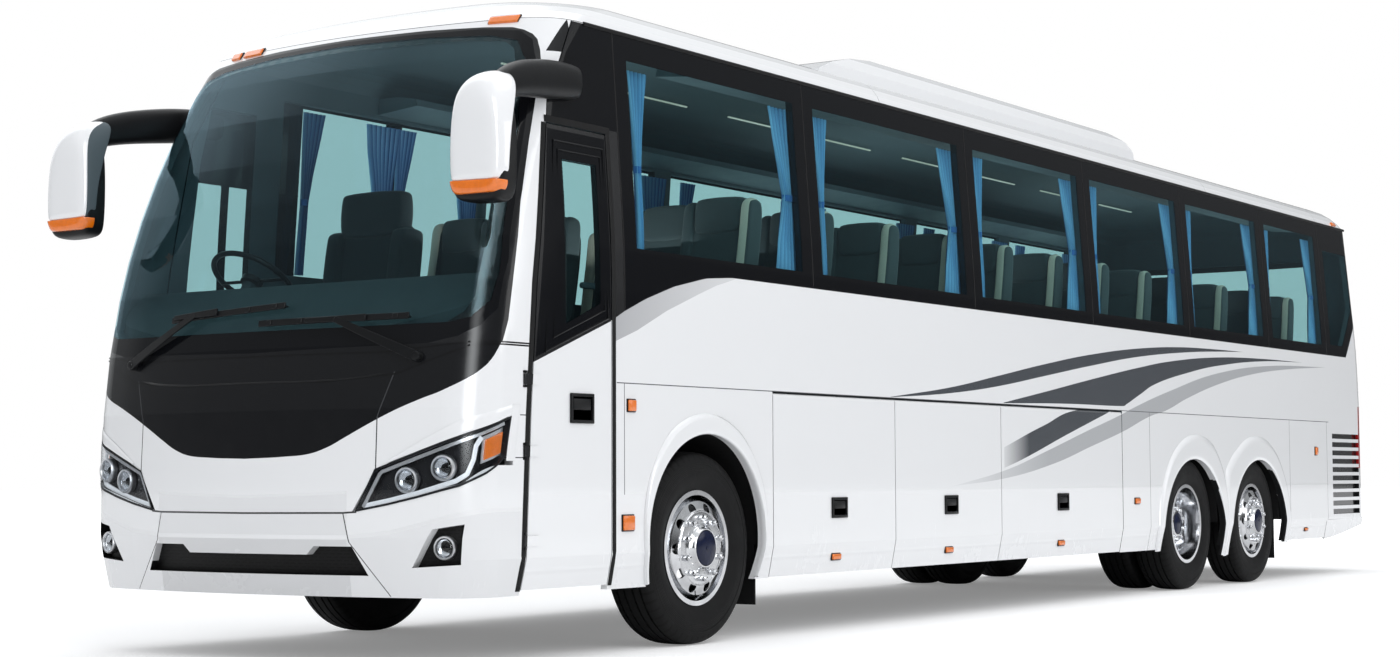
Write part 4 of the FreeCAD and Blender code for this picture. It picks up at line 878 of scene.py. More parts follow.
# ---- plain finishes -----------------------------------------------------------------------------
def make_finishes():
    f = {}

    def plastic(name, colour, rough, scale=420.0, depth=0.0006):
        def tint(tree):
            cloud = noise(tree, 5.0, 4.0)
            return mix(tree, cloud.ramp(0.35, 0.75) * 0.35, colour, shaded(colour, 1.5))
        f[name] = surface(name, tint, lambda tree: use(tree, WEAR, Scale=7.0, Share=0.18)[0] + rough,
                          lambda tree: use(tree, GRAIN, Scale=scale, Depth=depth)[0], 0.35,
                          Specular_IOR_Level=0.22)

    plastic("black_trim", tone(15, 16, 18), 0.34)
    plastic("gloss_black", tone(14, 15, 17), 0.10, 900.0, 0.00008)
    plastic("rubber_seal", tone(17, 17, 18), 0.58, 600.0, 0.0004)
    plastic("cabin_trim", tone(92, 104, 110), 0.55)
    plastic("cabin_floor", tone(62, 64, 66), 0.6, 160.0, 0.001)
    plastic("chassis_paint", tone(26, 27, 29), 0.5, 120.0, 0.0012)
    plastic("housing_liner", tone(12, 12, 13), 0.75, 90.0, 0.0015)
    plastic("dash_top", tone(62, 70, 74), 0.62, 300.0, 0.0008)
    plastic("lamp_bowl", tone(30, 31, 34), 0.22, 700.0, 0.0001)

    def alloy(name, rough, share):
        f[name] = surface(
            name, lambda tree: mix(tree, noise(tree, 14.0, 5.0, 0.6).ramp(0.3, 0.8), tone(226, 227, 229),
                                   tone(196, 197, 200)),
            lambda tree: use(tree, WEAR, Scale=22.0, Share=share)[0] + rough,
            lambda tree: noise(tree, 90.0) * 0.00004, 0.25, metallic=1.0)

    alloy("polished_alloy", 0.11, 0.05)
    alloy("satin_silver", 0.34, 0.08)
    alloy("satin_alloy", 0.20, 0.08)
    alloy("chrome", 0.07, 0.04)

    def lens(name, colour, pitch, inner=0.0):
        """Moulded lamp lens with fine upright flutes."""
        def flutes(tree):
            x, y, z = places(tree)
            return ((x + y) * pitch).sum("SINE") * (z * pitch).sum("SINE") * 0.0006
        f[name] = surface(name, lambda tree: mix(tree, noise(tree, 60.0).ramp(0.3, 0.7) * 0.3, colour,
                                                 shaded(colour, 0.6)),
                          lambda tree: noise(tree, 40.0) * 0.08 + 0.10, flutes, 0.5, coat=1.0,
                          Emission_Color=colour, Emission_Strength=inner)

    lens("amber_lens", tone(232, 116, 12), 900.0, 0.07)
    lens("red_lens", tone(176, 16, 18), 700.0, 0.05)
    lens("white_lens", tone(232, 236, 240), 800.0, 0.30)
    plastic("hub_enamel", tone(22, 28, 52), 0.14, 800.0, 0.0001)
    alloy("reflector", 0.12, 0.05)
    f["clear_cover"] = clear_plastic("clear_cover", (0.94, 0.95, 0.96, 1.0))
    lens("light_strip", tone(226, 224, 206), 300.0, 0.42)

    def mesh_cells(tree):
        """Staggered slots pressed through black plastic; the slots are painted almost black as the shade behind the
        mesh.
        """
        x, y, z = places(tree)
        course = (z * 62.0).sum("FLOOR")
        along = (x + y) * 22.0 + course * 0.5
        cell = (along - along.sum("FLOOR")).between(0.12, 0.88) * ((z * 62.0) - course).between(0.22, 0.80)
        return cell

    # the holes get painted shade, darker than the plastic
    f["grille_mesh"] = surface("grille_mesh", lambda tree: mix(tree, mesh_cells(tree), tone(13, 13, 14),
                                                               tone(2, 2, 2)), 0.5,
                               lambda tree: mesh_cells(tree) * -0.004, 0.8, Specular_IOR_Level=0.2)

    def cloth(name, colour, scale, fold_shade=None, mask=None, second=None):
        """Woven cloth with painted shade in its folds where fold_shade is given, in a second colour where mask(tree)
        is 1.
        """
        def tint(tree):
            shade = use(tree, WEAVE, Scale=scale, Depth=0.0005)[1]
            cloth_shade = mix(tree, shade * 0.12, colour, shaded(colour, 1.35))
            # painted fold shade: the fold_shade attribute mixes the dark colour into the valleys of the gathered cloth
            if fold_shade:
                depth = add_node(tree, "ShaderNodeAttribute", {"attribute_name": "fold_shade"}).outputs["Fac"]
                cloth_shade = mix(tree, depth, fold_shade, cloth_shade)
            return mix(tree, mask(tree), cloth_shade, second) if mask else cloth_shade
        f[name] = surface(name, tint, lambda tree: noise(tree, 30.0) * 0.1 + 0.80,
                          lambda tree: use(tree, WEAVE, Scale=scale, Depth=0.0001)[0], 0.3,
                          Sheen_Weight=0.25, Sheen_Roughness=0.5)

    def bolster(tree):
        """Pale side wings of each seat back."""
        x, y, z = places(tree)
        wide = x.size()
        wings = wide.between(0.608, 0.6705) | wide.between(1.085, 1.1405)
        pitch = (y - row(SEAT_FIRST)) / SEAT_PITCH
        deep = (pitch - pitch.sum("FLOOR")) * SEAT_PITCH - (z - FLOOR_Z - SEAT_FOOT) * SEAT_LEAN
        stagger = wide.between(0.2, 0.69) * SEAT_STAGGER
        return wings * (z > 1.80) * (deep - stagger < 0.515)

    cloth("seat_cloth", tone(54, 60, 63), 1500.0, mask=bolster, second=tone(226, 212, 194))
    cloth("driver_cloth", tone(48, 53, 57), 1500.0)
    cloth("curtain_band", tone(58, 116, 190), 2200.0)
    # the dark blue is painted shade in the curtain's fold valleys
    cloth("curtain_cloth", tone(160, 214, 255), 2200.0, fold_shade=tone(22, 70, 140))
    return f


def tyre_rubber(name, axle):
    """Black rubber with moulded sipes on the tread shoulders, centred on one axle; the sipes and the thin groove round
    the sidewall get painted shade.
    """
    def centred(tree):
        x, y, z = places(tree)
        return x, y - axle, z - HUB_Z

    def reach(tree):
        _, y, z = centred(tree)
        return (y * y + z * z).sum("SQRT"), z.sum("ARCTAN2", y)

    def sipes(radius, angle):
        return ((angle * 58.0).sum("SINE") > 0.55) * radius.between(0.462, 0.5035)

    def tint(tree):
        radius, angle = reach(tree)
        dusty = noise(tree, 9.0, 5.0, 0.7).ramp(0.3, 0.8) * 0.5
        worn = mix(tree, dusty, tone(14, 14, 15), tone(24, 24, 24))
        # painted shade: the sipes and the thin groove round the sidewall are near black
        return mix(tree, sipes(radius, angle) | radius.between(0.4345, 0.4385), worn, tone(5, 5, 5))

    def height(tree):
        radius, angle = reach(tree)
        ribs = ((radius * 700.0).sum("SINE") * 0.0008) * radius.between(0.39, 0.452)
        return noise(tree, 120.0) * 0.0006 + ribs - sipes(radius, angle) * 0.006
    return surface(name, tint, lambda tree: noise(tree, 12.0) * 0.15 + 0.55, height, 0.8, Specular_IOR_Level=0.18)


# ---- finishes on the frame's own parts ----------------------------------------------------------
def finish_frame(f, paints):
    """Give the frame's own parts their paints and finishes."""
    given = {
        "side_glass_left": glazing("side_pane", side_clear, TINT),
        "windscreen": glazing("front_pane", screen_clear, (0.70, 0.81, 0.82, 1.0)),
        "door_glass": glazing("door_pane", door_clear, TINT),
        "tail_glass": glazing("tail_pane", tail_clear, TINT),
    }
    given["side_glass_right"] = given["side_glass_left"]
    for side in ("left", "right"):
        for name in ("side_wall_", "skirt_"):
            given[name + side] = paints["side"]
        for number in (1, 2, 3):
            given["luggage_door_%s_%d" % (side, number)] = paints["side"]
        given["knuckle_" + side] = f["chassis_paint"]
        for wheel in ("front", "drive", "tag"):
            given["%s_rim_%s" % (wheel, side)] = f["polished_alloy"]
    given.update({
        "passenger_door": paints["door"], "screen_surround": paints["nose"], "front_mask": paints["nose"],
        "front_bumper": paints["nose"], "roof_panel": paints["roof"], "roof_aircon": paints["plain"],
        "tail_panel": paints["tail"], "engine_lid": paints["tail"], "front_grille": f["grille_mesh"],
        "tail_lamps": f["red_lens"], "door_hinges": f["gloss_black"], "floor_deck": f["cabin_floor"],
        "dashboard": f["dash_top"], "steering_wheel": f["black_trim"],
        "parcel_racks": f["cabin_trim"], "wheel_housings": f["housing_liner"], "mudflaps": f["rubber_seal"],
        "air_springs": f["rubber_seal"], "luggage_bay": f["cabin_floor"],
    })
    for name in ("chassis_frame", "front_axle", "drive_axle", "tag_axle", "engine_block"):
        given[name] = f["chassis_paint"]
    for name, finish in given.items():
        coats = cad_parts[name].data.materials
        coats.clear()
        coats.append(finish)


# ---- wheels -------------------------------------------------------------------------------------
TYRE_HALF_PROFILE = [
    (0.1100, 0.2860), (0.1112, 0.3050), (0.1180, 0.3180), (0.1290, 0.3440), (0.1355, 0.3700), (0.1378, 0.3900),
    (0.1374, 0.4120), (0.1345, 0.4340), (0.1360, 0.4370), (0.1350, 0.4450), (0.1318, 0.4540), (0.1290, 0.4680),
    (0.1235, 0.4820), (0.1150, 0.4920), (0.1020, 0.4985), (0.0790, 0.5030), (0.0775, 0.4910), (0.0685, 0.4910),
    (0.0670, 0.5040), (0.0330, 0.5058), (0.0315, 0.4930), (0.0225, 0.4930), (0.0210, 0.5060)]


def add_tyre(name, x, axle):
    profile = TYRE_HALF_PROFILE + [(-u, r) for u, r in reversed(TYRE_HALF_PROFILE)]
    return lathe(name, profile, (x, axle, HUB_Z), 96)


def wheel_nut(name, x, axle, radius, tall=0.034):
    """Six-sided nut with a domed cap, standing on a disc facing outwards."""
    bpy.ops.object.select_all(action="DESELECT")
    bpy.ops.mesh.primitive_cylinder_add(vertices=6, radius=0.0175, depth=tall, rotation=(0, math.pi / 2, 0),
                                        location=(x + tall / 2, axle, HUB_Z + radius))
    nut = named(name)
    bpy.ops.object.transform_apply(location=True, rotation=True, scale=True)
    pick(nut, lambda middle, normal: normal.x > 0.9)
    bpy.ops.mesh.inset(thickness=0.0035)
    bpy.ops.mesh.extrude_region_move(TRANSFORM_OT_translate={"value": (0.006, 0, 0)})
    bpy.ops.mesh.bevel(offset=0.003, segments=2)
    return rounded(settled(nut), 0.0012, 1, 25)


def add_single_wheels(f):
    """Front and tag wheels: tyre, nuts, hub plate, boss, valve and enamelled dome."""
    for label, axle in (("front", FRONT_AXLE), ("tag", TAG_AXLE)):
        rubber = tyre_rubber(label + "_tyre_rubber", axle)
        bodies = (label + "_wheel_left", label + "_wheel_right")
        tyre = add_tyre(label + "_tyre", TYRE_X, axle)
        for piece, side in zip(both_sides(tyre, label + "_tyre_skin", rubber, bodies, 30),
                               ("left", "right")):
            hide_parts("%s_tyre_%s" % (label, side))
        centre = (TYRE_X, axle, HUB_Z)
        nuts = ring_of(wheel_nut("nut", TYRE_X + 0.1405, axle, 0.1585), "nuts", 10, centre)
        both_sides(nuts, label + "_wheel_nuts", f["chrome"], bodies)
        plate = lathe("plate", [(0.120, 0.2040), (0.132, 0.2030), (0.1385, 0.1985), (0.1415, 0.1920),
                                (0.1420, 0.1870), (0.1415, 0.1120), (0.1350, 0.1120), (0.1350, 0.1900)], centre, 72)
        both_sides(plate, label + "_hub_plate", f["satin_alloy"], bodies, 40)
        collar = lathe("collar", [(0.1400, 0.1955), (0.1440, 0.1925), (0.1440, 0.1895), (0.1400, 0.1875)], centre, 72)
        boss = lathe("boss", [(0.141, 0.125), (0.150, 0.121), (0.155, 0.114), (0.160, 0.108), (0.172, 0.104),
                              (0.1760, 0.100), (0.1760, 0.095), (0.170, 0.092), (0.160, 0.092), (0.141, 0.100)],
                     centre, 72)
        ends = [Vector(centre) + Vector(end) for end in ((0.108, 0.0, -0.268), (0.150, 0.0, -0.245))]
        valve = rod("valve", ends, 0.005, 2, smooth_line=False)
        both_sides(joined("boss", [boss, collar, valve]), label + "_hub_ring", f["chrome"], bodies)
        dome = lathe("dome", [(0.168, 0.0925), (0.1765, 0.0900), (0.181, 0.072), (0.1835, 0.042), (0.184, 0.004),
                              (0.168, 0.004)], centre, 64)
        cap = lathe("cap", [(0.178, 0.012), (0.1868, 0.009), (0.187, 0.001), (0.178, 0.001)], centre, 32)
        both_sides(joined("dome", [dome, cap]), label + "_hub_dome", f["hub_enamel"], bodies)


def add_twin_wheels(f):
    """Drive wheels: a pair of tyres each side, the hub deep inside the outer rim."""
    rubber = tyre_rubber("drive_tyre_rubber", DRIVE_AXLE)
    bodies = ("drive_wheel_left", "drive_wheel_right")
    pair = joined("drive_tyre", [add_tyre(name, x, DRIVE_AXLE)
                                 for name, x in (("outer", TYRE_X), ("inner", TYRE_X - TWIN_PITCH))])
    for piece, side in zip(both_sides(pair, "drive_tyre_skin", rubber, bodies, 30), ("left", "right")):
        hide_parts("drive_tyres_" + side)
    centre = (TYRE_X, DRIVE_AXLE, HUB_Z)
    nuts = ring_of(wheel_nut("nut", TYRE_X - 0.128, DRIVE_AXLE, 0.166, 0.05), "nuts", 10, centre)
    studs = ring_of(wheel_nut("stud", TYRE_X + 0.034, DRIVE_AXLE, 0.122, 0.014), "studs", 10, centre)
    both_sides(joined("nuts", [nuts, studs]), "drive_wheel_nuts", f["chrome"], bodies)
    dome = lathe("dome", [(0.030, 0.0835), (0.047, 0.0800), (0.054, 0.062), (0.058, 0.035), (0.059, 0.004),
                          (0.030, 0.004)], centre, 64)
    both_sides(dome, "drive_hub_dome", f["hub_enamel"], bodies)
    ring = lathe("ring", [(-0.030, 0.152), (0.022, 0.150), (0.034, 0.143), (0.036, 0.105), (0.044, 0.098),
                          (0.046, 0.084), (0.034, 0.082), (-0.030, 0.082)], centre, 64)
    both_sides(ring, "drive_hub_ring", f["chrome"], bodies)


# ---- lamps --------------------------------------------------------------------------------------
LAMP_LOW = [(0.668, 0.720), (0.85, 0.752), (1.0, 0.784), (1.209, 0.836), (1.335, 0.893),
            (1.405, 0.934), (1.465, 0.980)]
LAMP_TOP = [(0.776, 0.920), (1.01, 1.001), (1.25, 1.084), (1.497, 1.165)]


def along(points, u):
    """The point at a share u of the way along a line."""
    steps = [math.dist(a, b) for a, b in zip(points, points[1:])]
    left = u * sum(steps)
    for a, b, step in zip(points, points[1:], steps):
        if left <= step + 1e-9:
            return tuple(p + (q - p) * left / step for p, q in zip(a, b))
        left -= step
    return tuple(points[-1])


def spanned(low, top, lift):
    """A rule for a patch on the nose between two lines of (round the nose, height)."""
    def place(u, v):
        (a0, z0), (a1, z1) = along(low, u), along(top, u)
        return around(a0 + (a1 - a0) * v, z0 + (z1 - z0) * v, lift)
    return place


def in_lamp(u, v, lift):
    """A place in the headlamp: u outwards, v upwards."""
    return spanned(LAMP_LOW, LAMP_TOP, lift)(u, v)


def lamp_bowl(u, v):
    """The black bowl: a raised rim that drops to the floor of the lamp."""
    near = min(u * 0.82, (1 - u) * 0.82, v * 0.19, (1 - v) * 0.19)
    lift = 0.0025 if near < 0.010 else -0.044 * min(1.0, (near - 0.010) / 0.012) ** 0.5 + 0.0025
    return in_lamp(u, v, lift)


def projector(name, a, z, f, size, sink):
    """Round lamp: silver bezel, mirror bowl, dark bulb and clear dome."""
    centre = around(a, z, sink)
    ahead = (around(a, z, 0.1) - around(a, z)).normalized()
    ahead = (ahead + Vector((0, -0.6, 0))).normalized()
    shapes = (
        ("bezel", "satin_silver", 48, [(0.0, 0.058), (0.016, 0.0575), (0.0215, 0.0535), (0.020, 0.0475),
                                       (0.006, 0.0435), (-0.010, 0.0425), (-0.010, 0.058)]),
        ("bowl", "reflector", 40, [(0.006, 0.0440), (-0.004, 0.037), (-0.010, 0.026), (-0.013, 0.012),
                                   (-0.0135, 0.0), (-0.016, 0.0), (-0.016, 0.044)]),
        ("bulb", "gloss_black", 32, [(-0.014, 0.019), (-0.004, 0.018), (0.0015, 0.013), (0.003, 0.0),
                                     (-0.014, 0.0)]),
        ("dome", "clear_cover", 40, [(0.004, 0.0435), (0.0125, 0.036), (0.018, 0.022), (0.020, 0.008),
                                     (0.0202, 0.0), (0.0182, 0.0), (0.0180, 0.008), (0.016, 0.021),
                                     (0.0105, 0.035), (0.002, 0.0425)]))
    made = [(lathe(label, [(u * size, r * size) for u, r in profile], centre, steps, ahead), label, finish)
            for label, finish, steps, profile in shapes]
    for piece, label, finish in made:
        both_sides(piece, name + "_" + label, f[finish], COACH)


def strip_round(name, points, half, lift, thick, steps=40):
    """A flat bar half a width each side of a line of (round the nose, height), raised off the skin."""
    def place(u, v):
        a, z = along(points, u)
        b, w = along(points, min(1.0, u + 0.01))
        c, y = along(points, max(0.0, u - 0.01))
        n = math.hypot(b - c, w - y)
        off = (v - 0.5) * 2 * half
        return around(a - (w - y) / n * off, z + (b - c) / n * off, lift)

    return patch(name, steps, 2, place, thick)


def add_headlamps(f, paints):
    bowl = patch("bowl", 90, 40, lamp_bowl)
    edit(bowl, outwards)
    for piece in both_sides(bowl, "headlamp_bowl", f["lamp_bowl"], COACH, 50):
        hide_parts("front_lamps")
    projector("inner_lamp", 0.940, 0.868, f, 1.06, -0.022)
    projector("outer_lamp", 1.128, 0.923, f, 1.06, -0.022)
    guide = strip_round("guide", [(1.318, 1.064), (1.288, 1.022), (1.277, 0.960), (1.245, 0.893), (1.190, 0.862),
                                  (1.000, 0.808), (0.850, 0.774), (0.706, 0.747)], 0.0115, -0.012, 0.012, 60)
    both_sides(rounded(guide, 0.002, 2), "light_guide", f["white_lens"], COACH)
    line = strip_round("line", [(0.706, 0.742), (0.800, 0.904), (1.03, 0.983), (1.300, 1.075), (1.462, 1.129)],
                       0.0085, -0.010, 0.010, 50)
    both_sides(rounded(line, 0.0015, 1), "lamp_line", f["satin_silver"], COACH)

    rim = spanned([(1.316, 0.940), (1.450, 0.982)], [(1.328, 1.066), (1.464, 1.110)], -0.022)
    both_sides(patch("rim", 12, 10, rim, 0.008), "turn_lamp_rim", f["satin_silver"], COACH)
    amber = spanned([(1.332, 0.957), (1.440, 0.990)], [(1.340, 1.052), (1.455, 1.090)], -0.012)
    both_sides(rounded(patch("amber", 16, 12, amber, 0.016), 0.003, 2), "turn_lamp", f["amber_lens"], COACH)

    def surround(u, v):
        """White skin over the top edge of the lamp, down to its rim."""
        a, z = along(LAMP_TOP, 0.10 + 0.90 * u)
        tall = read([(0.86, 0.014), (1.02, 0.044), (1.20, 0.068), (1.40, 0.062), (1.50, 0.050)], a)
        return around(a, z + 0.003 + tall * v, 0.0022 - 0.006 * max(0.0, 2 * v - 1.5) - 0.02 * max(0.0, 0.1 - v))

    def end_skin(u, v):
        a = 1.466 + 0.034 * v + 0.066 * u
        return around(a, 0.955 + 0.262 * v, 0.0022 - 0.02 * max(0.0, 0.1 - u) - 0.006 * max(0.0, u - 0.75))

    skins = joined("surround", [patch("top", 60, 10, surround), patch("end", 12, 30, end_skin)])
    edit(skins, outwards)
    both_sides(skins, "headlamp_surround", paints["plain"], COACH, 40)
    cover = patch("cover", 60, 24, lambda u, v: in_lamp(0.012 + 0.976 * u, 0.045 + 0.91 * v, 0.004), 0.002)
    both_sides(cover, "headlamp_cover", f["clear_cover"], COACH)
    projector("fog_lamp", girth(1.118, 0.556), 0.556, f, 0.98, -0.032)


# ---- mirrors ------------------------------------------------------------------------------------
MIRROR_OUTLINE = [(1.206, 2.190), (1.225, 2.145), (1.270, 2.128), (1.440, 2.122), (1.485, 2.140), (1.505, 2.190),
                  (1.510, 2.380), (1.498, 2.540), (1.462, 2.625), (1.400, 2.675), (1.310, 2.690), (1.240, 2.655),
                  (1.208, 2.570), (1.200, 2.380)]
MIRROR_X, MIRROR_Z = 1.355, 2.42     # middle of the mirror head
ARM_RINGS = [(1.190, -1.085, 2.806, 0.060, 0.030), (1.236, -1.095, 2.806, 0.074, 0.044),
             (1.246, -1.120, 2.806, 0.086, 0.052), (1.262, -1.300, 2.794, 0.098, 0.056),
             (1.298, -1.500, 2.770, 0.096, 0.054), (1.342, -1.700, 2.738, 0.088, 0.050),
             (1.368, -1.850, 2.690, 0.080, 0.047), (1.372, -1.930, 2.630, 0.066, 0.044),
             (1.372, -1.960, 2.560, 0.050, 0.040)]
ARM_SHAPE = [(1.0, 0.5), (0.6, 1.0), (-0.6, 1.0), (-1.0, 0.5), (-1.0, -0.5), (-0.6, -1.0), (0.6, -1.0), (1.0, -0.5)]


def head_ring(station, share):
    """The mirror head's outline drawn in to a share of its size."""
    return [(MIRROR_X + (x - MIRROR_X) * share, row(station), MIRROR_Z + (z - MIRROR_Z) * share)
            for x, z in MIRROR_OUTLINE]


def add_mirrors(f, paints):
    frame_rings = [head_ring(s, k) for s, k in (
        (-2.024, 0.90), (-2.012, 0.965), (-1.99, 0.995), (-1.95, 1.0), (-1.912, 1.0), (-1.903, 0.985), (-1.902, 0.95))]
    back = tube("mirror_back", frame_rings)
    for piece in both_sides(back, "mirror_frame", f["black_trim"], COACH):
        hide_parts("mirror_heads")

    def crowned(share, station, back, lift):
        """A ring of the cap whose top runs back towards the arm."""
        ring = []
        for x, y, z in head_ring(station, share):
            high = max(0.0, min(1.0, (z - 2.46) / 0.20)) ** 1.3
            ring.append((x, y + back * high, max(z + lift * high, 2.224 - 0.02 * (x - MIRROR_X))))
        return ring

    cap = tube("cap", [crowned(*ring) for ring in (
        (0.12, -2.0500, 0.0, 0.0), (0.50, -2.0495, 0.0, 0.0), (0.76, -2.046, 0.004, 0.006),
        (0.90, -2.036, 0.012, 0.016), (0.972, -2.018, 0.028, 0.032), (1.0, -1.995, 0.060, 0.052),
        (1.012, -1.972, 0.110, 0.068), (1.006, -1.964, 0.150, 0.070), (0.985, -1.962, 0.152, 0.066))])

    def band(station, share):
        return [(x, y, min(max(z, 2.162), 2.2225 - 0.02 * (x - MIRROR_X)))
                for x, y, z in head_ring(station, share)]

    amber = tube("amber", [band(*ring) for ring in (
        (-2.0450, 0.80), (-2.041, 0.86), (-2.036, 0.905), (-2.018, 0.975), (-1.995, 1.003), (-1.974, 1.014),
        (-1.972, 0.99))])
    both_sides(cap, "mirror_cap", paints["plain"], COACH)
    both_sides(amber, "mirror_lamp", f["amber_lens"], COACH)
    y = row(-1.9025)
    glass = slab("mirror_glass", [(MIRROR_X + (x - MIRROR_X) * 0.86, y, 2.46 + (z - MIRROR_Z) * 0.72)
                                  for x, z in MIRROR_OUTLINE], (0, 0.0035, 0), 0.001, 1)
    low = slab("mirror_glass_low", [(1.235, y, 2.165), (1.470, y, 2.165), (1.480, y, 2.238), (1.228, y, 2.238)],
               (0, 0.0035, 0), 0.001, 1)
    both_sides(joined("mirror_glass", [glass, low]), "mirror_glass", f["chrome"], COACH)
    arm = tube("arm", [[(x + thick * a, row(s), z + tall * b) for a, b in ARM_SHAPE]
                       for x, s, z, tall, thick in ARM_RINGS])
    seam = tube("seam", [[(x + thick * a * 1.01, row(s), z + tall * b * 1.01) for a, b in ARM_SHAPE]
                         for x, s, z, tall, thick in [(1.2520, -1.196, 2.801, 0.0925, 0.0545),
                                                      (1.2523, -1.200, 2.801, 0.0925, 0.0545)]], 1)
    for piece in both_sides(joined("arm", [arm, seam]), "mirror_arm", f["black_trim"], COACH):
        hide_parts("mirror_arms")


# ---- wheel arches -------------------------------------------------------------------------------
# outer edge of each arch's lip, as (degrees round the wheel from the rear, radius)
FRONT_FLARE = [(-22, 0.566), (0, 0.566), (30, 0.610), (60, 0.648), (90, 0.660), (120, 0.652), (150, 0.612),
               (180, 0.568), (202, 0.566)]
DRIVE_FLARE = [(-10, 0.712), (0, 0.702), (20, 0.742), (40, 0.828), (60, 0.862), (90, 0.827), (125, 0.793),
               (158, 0.740), (184, 0.700)]
TAG_FLARE = [(-4, 0.740), (34, 0.790), (61, 0.820), (95, 0.835), (122, 0.865), (143, 0.925), (160, 0.790),
             (180, 0.716), (190, 0.722)]


def read(points, at):
    """What a drawn line of points gives for a number."""
    for (x0, y0), (x1, y1) in zip(points, points[1:]):
        if at <= x1:
            return y0 + (y1 - y0) * (at - x0) / (x1 - x0)
    return points[-1][1]


def flare(name, station, height, inner, outline):
    """Raised lip round a wheel opening, blending out into the side."""
    first, last = outline[0][0], outline[-1][0]

    def place(u, v):
        angle = first + (last - first) * u
        reach = read(outline, angle)
        c, s = math.cos(math.radians(angle)), math.sin(math.radians(angle))
        if v < 0.15:
            return on_side(station + inner * c, height + inner * s, -0.008 + 0.18 * v)
        t = (v - 0.15) / 0.85
        r = inner + 0.004 * min(1.0, t * 8) + (reach - inner) * t
        lift = 0.019 * min(1.0, (1 - t) / 0.22) ** 0.6 + 0.0008
        return on_side(station + r * c, height + r * s, lift)

    return patch(name, 96, 16, place)


def add_arches(paints):
    lips = [flare("front_lip", 0.0, 0.548, 0.553, FRONT_FLARE), flare("drive_lip", 6.82, 0.36, 0.643, DRIVE_FLARE),
            flare("tag_lip", 8.24, 0.36, 0.643, TAG_FLARE)]
    for lip, name in zip(lips, ("front_arch", "drive_arch", "tag_arch")):
        edit(lip, outwards)
        both_sides(lip, name, paints["plain"], COACH, 60)


# ---- door, handles and side lamps ---------------------------------------------------------------
NOSE_LINE = [(0.30, -1.552), (1.18, -1.507), (1.81, -1.460), (2.70, -1.320), (3.16, -1.060)]


def side_strip(name, low, high, front, back, lift=0.004, steps=40):
    """A strip up the left side between two edges, each a station for a height."""
    def place(u, v):
        z = low + (high - low) * v
        s0, s1 = front(z), back(z)
        edge = 0.0 if 0.1 < u < 0.9 else 0.004
        return on_side(s0 + (s1 - s0) * u, z, lift - edge)
    return patch(name, 6, steps, place)


def loop_on_side(name, corners, radius, lift):
    """A round bead along a closed line on the left side."""
    return rod(name, [on_side(s, z, lift) for s, z in corners], radius, 3, closed=True, smooth_line=False)


def handle(name, station, z, length, tall):
    """Black pan with a rounded edge and a paddle across it, on the upright part of the side."""
    lift = HALF_WIDTH
    pan = block("pan", (lift, row(station - length / 2), z - tall / 2),
                (lift + 0.011, row(station + length / 2), z + tall / 2), 0.004, 2)
    pick(pan, lambda middle, normal: normal.x > 0.98)
    bpy.ops.mesh.inset(thickness=0.012)
    bpy.ops.mesh.extrude_region_move(TRANSFORM_OT_translate={"value": (-0.016, 0, 0)})
    settled(pan)
    paddle = block("paddle", (lift - 0.004, row(station - length * 0.36), z - tall * 0.06),
                   (lift + 0.009, row(station + length * 0.36), z + tall * 0.33), 0.005, 3)
    return joined(name, [pan, paddle])


# side lamps as (station, height, length, tall)
SIDE_LAMPS = [(-0.69, 1.235, 0.075, 0.068), (-0.72, 0.650, 0.105, 0.085), (9.424, 0.410, 0.085, 0.036),
              (5.704, 0.692, 0.095, 0.050), (9.682, 1.086, 0.070, 0.078)]
LIDS = [(1.375, 1.356), (2.765, 2.754), (4.42, 4.408)]      # stations of each luggage door's handle and lamp


def side_lamp(name, station, z, length, tall, f, bodies):
    """Amber lens in a thin black housing."""
    lift = half_width(z)
    base = block("base", (lift - 0.002, row(station - length / 2), z - tall / 2),
                 (lift + 0.006, row(station + length / 2), z + tall / 2), 0.003, 2)
    lens = block("lens", (lift + 0.002, row(station - length / 2 + 0.006), z - tall / 2 + 0.006),
                 (lift + 0.016, row(station + length / 2 - 0.006), z + tall / 2 - 0.006), 0.005, 3)
    both_sides(base, name + "_base", f["black_trim"], bodies)
    both_sides(lens, name, f["amber_lens"], bodies)


ROOF_MARKERS = [(0.862, 1.022), (-0.905, -0.832), (-0.795, -0.645)]


def add_markers(f):
    """Amber marker lamps over the windscreen and on the rear corners of the roof, and the cabin's light strips."""
    for number, (a0, a1) in enumerate(ROOF_MARKERS, 1):
        for label, grow, lift, finish, slot in (("base", 0.004, 0.006, "black_trim", "black_plastic"),
                                                ("lens", 0.0, 0.016, "amber_lens", "lamp_glass")):
            piece = patch("marker", 8, 4, lambda u, v: around(
                a0 - grow + (a1 - a0 + 2 * grow) * u, 3.116 - grow + (0.034 + 2 * grow) * v, lift), 0.016)
            dress(rounded(piece, 0.003, 2), f[finish], "coach").name = "roof_marker_%d_%s" % (number, label)
    rear = patch("marker", 6, 4, lambda u, v: on_side(10.50 + 0.10 * u, 3.150 + 0.030 * v, 0.014), 0.016)
    both_sides(rounded(rear, 0.003, 2), "rear_roof_marker", f["amber_lens"], COACH)
    for number in range(8):
        s = 0.35 + 1.22 * number
        strip = block("strip", (0.372, row(s), 3.287), (0.390, row(s + 0.72), 3.298), 0.004, 1)
        both_sides(strip, "ceiling_light_%d" % (number + 1), f["light_strip"], COACH)


# each wiper: pivot, elbow and the two ends of its blade, as (X, height)
WIPERS = [((0.967, 1.440), (0.522, 1.627), (0.055, 1.622), (0.912, 1.632)),
          ((-0.896, 1.451), (-0.388, 1.684), (-0.576, 1.664), (0.206, 1.706))]


def glass_spot(x, z, lift):
    return around(math.copysign(girth(abs(x), z), x), z, lift)


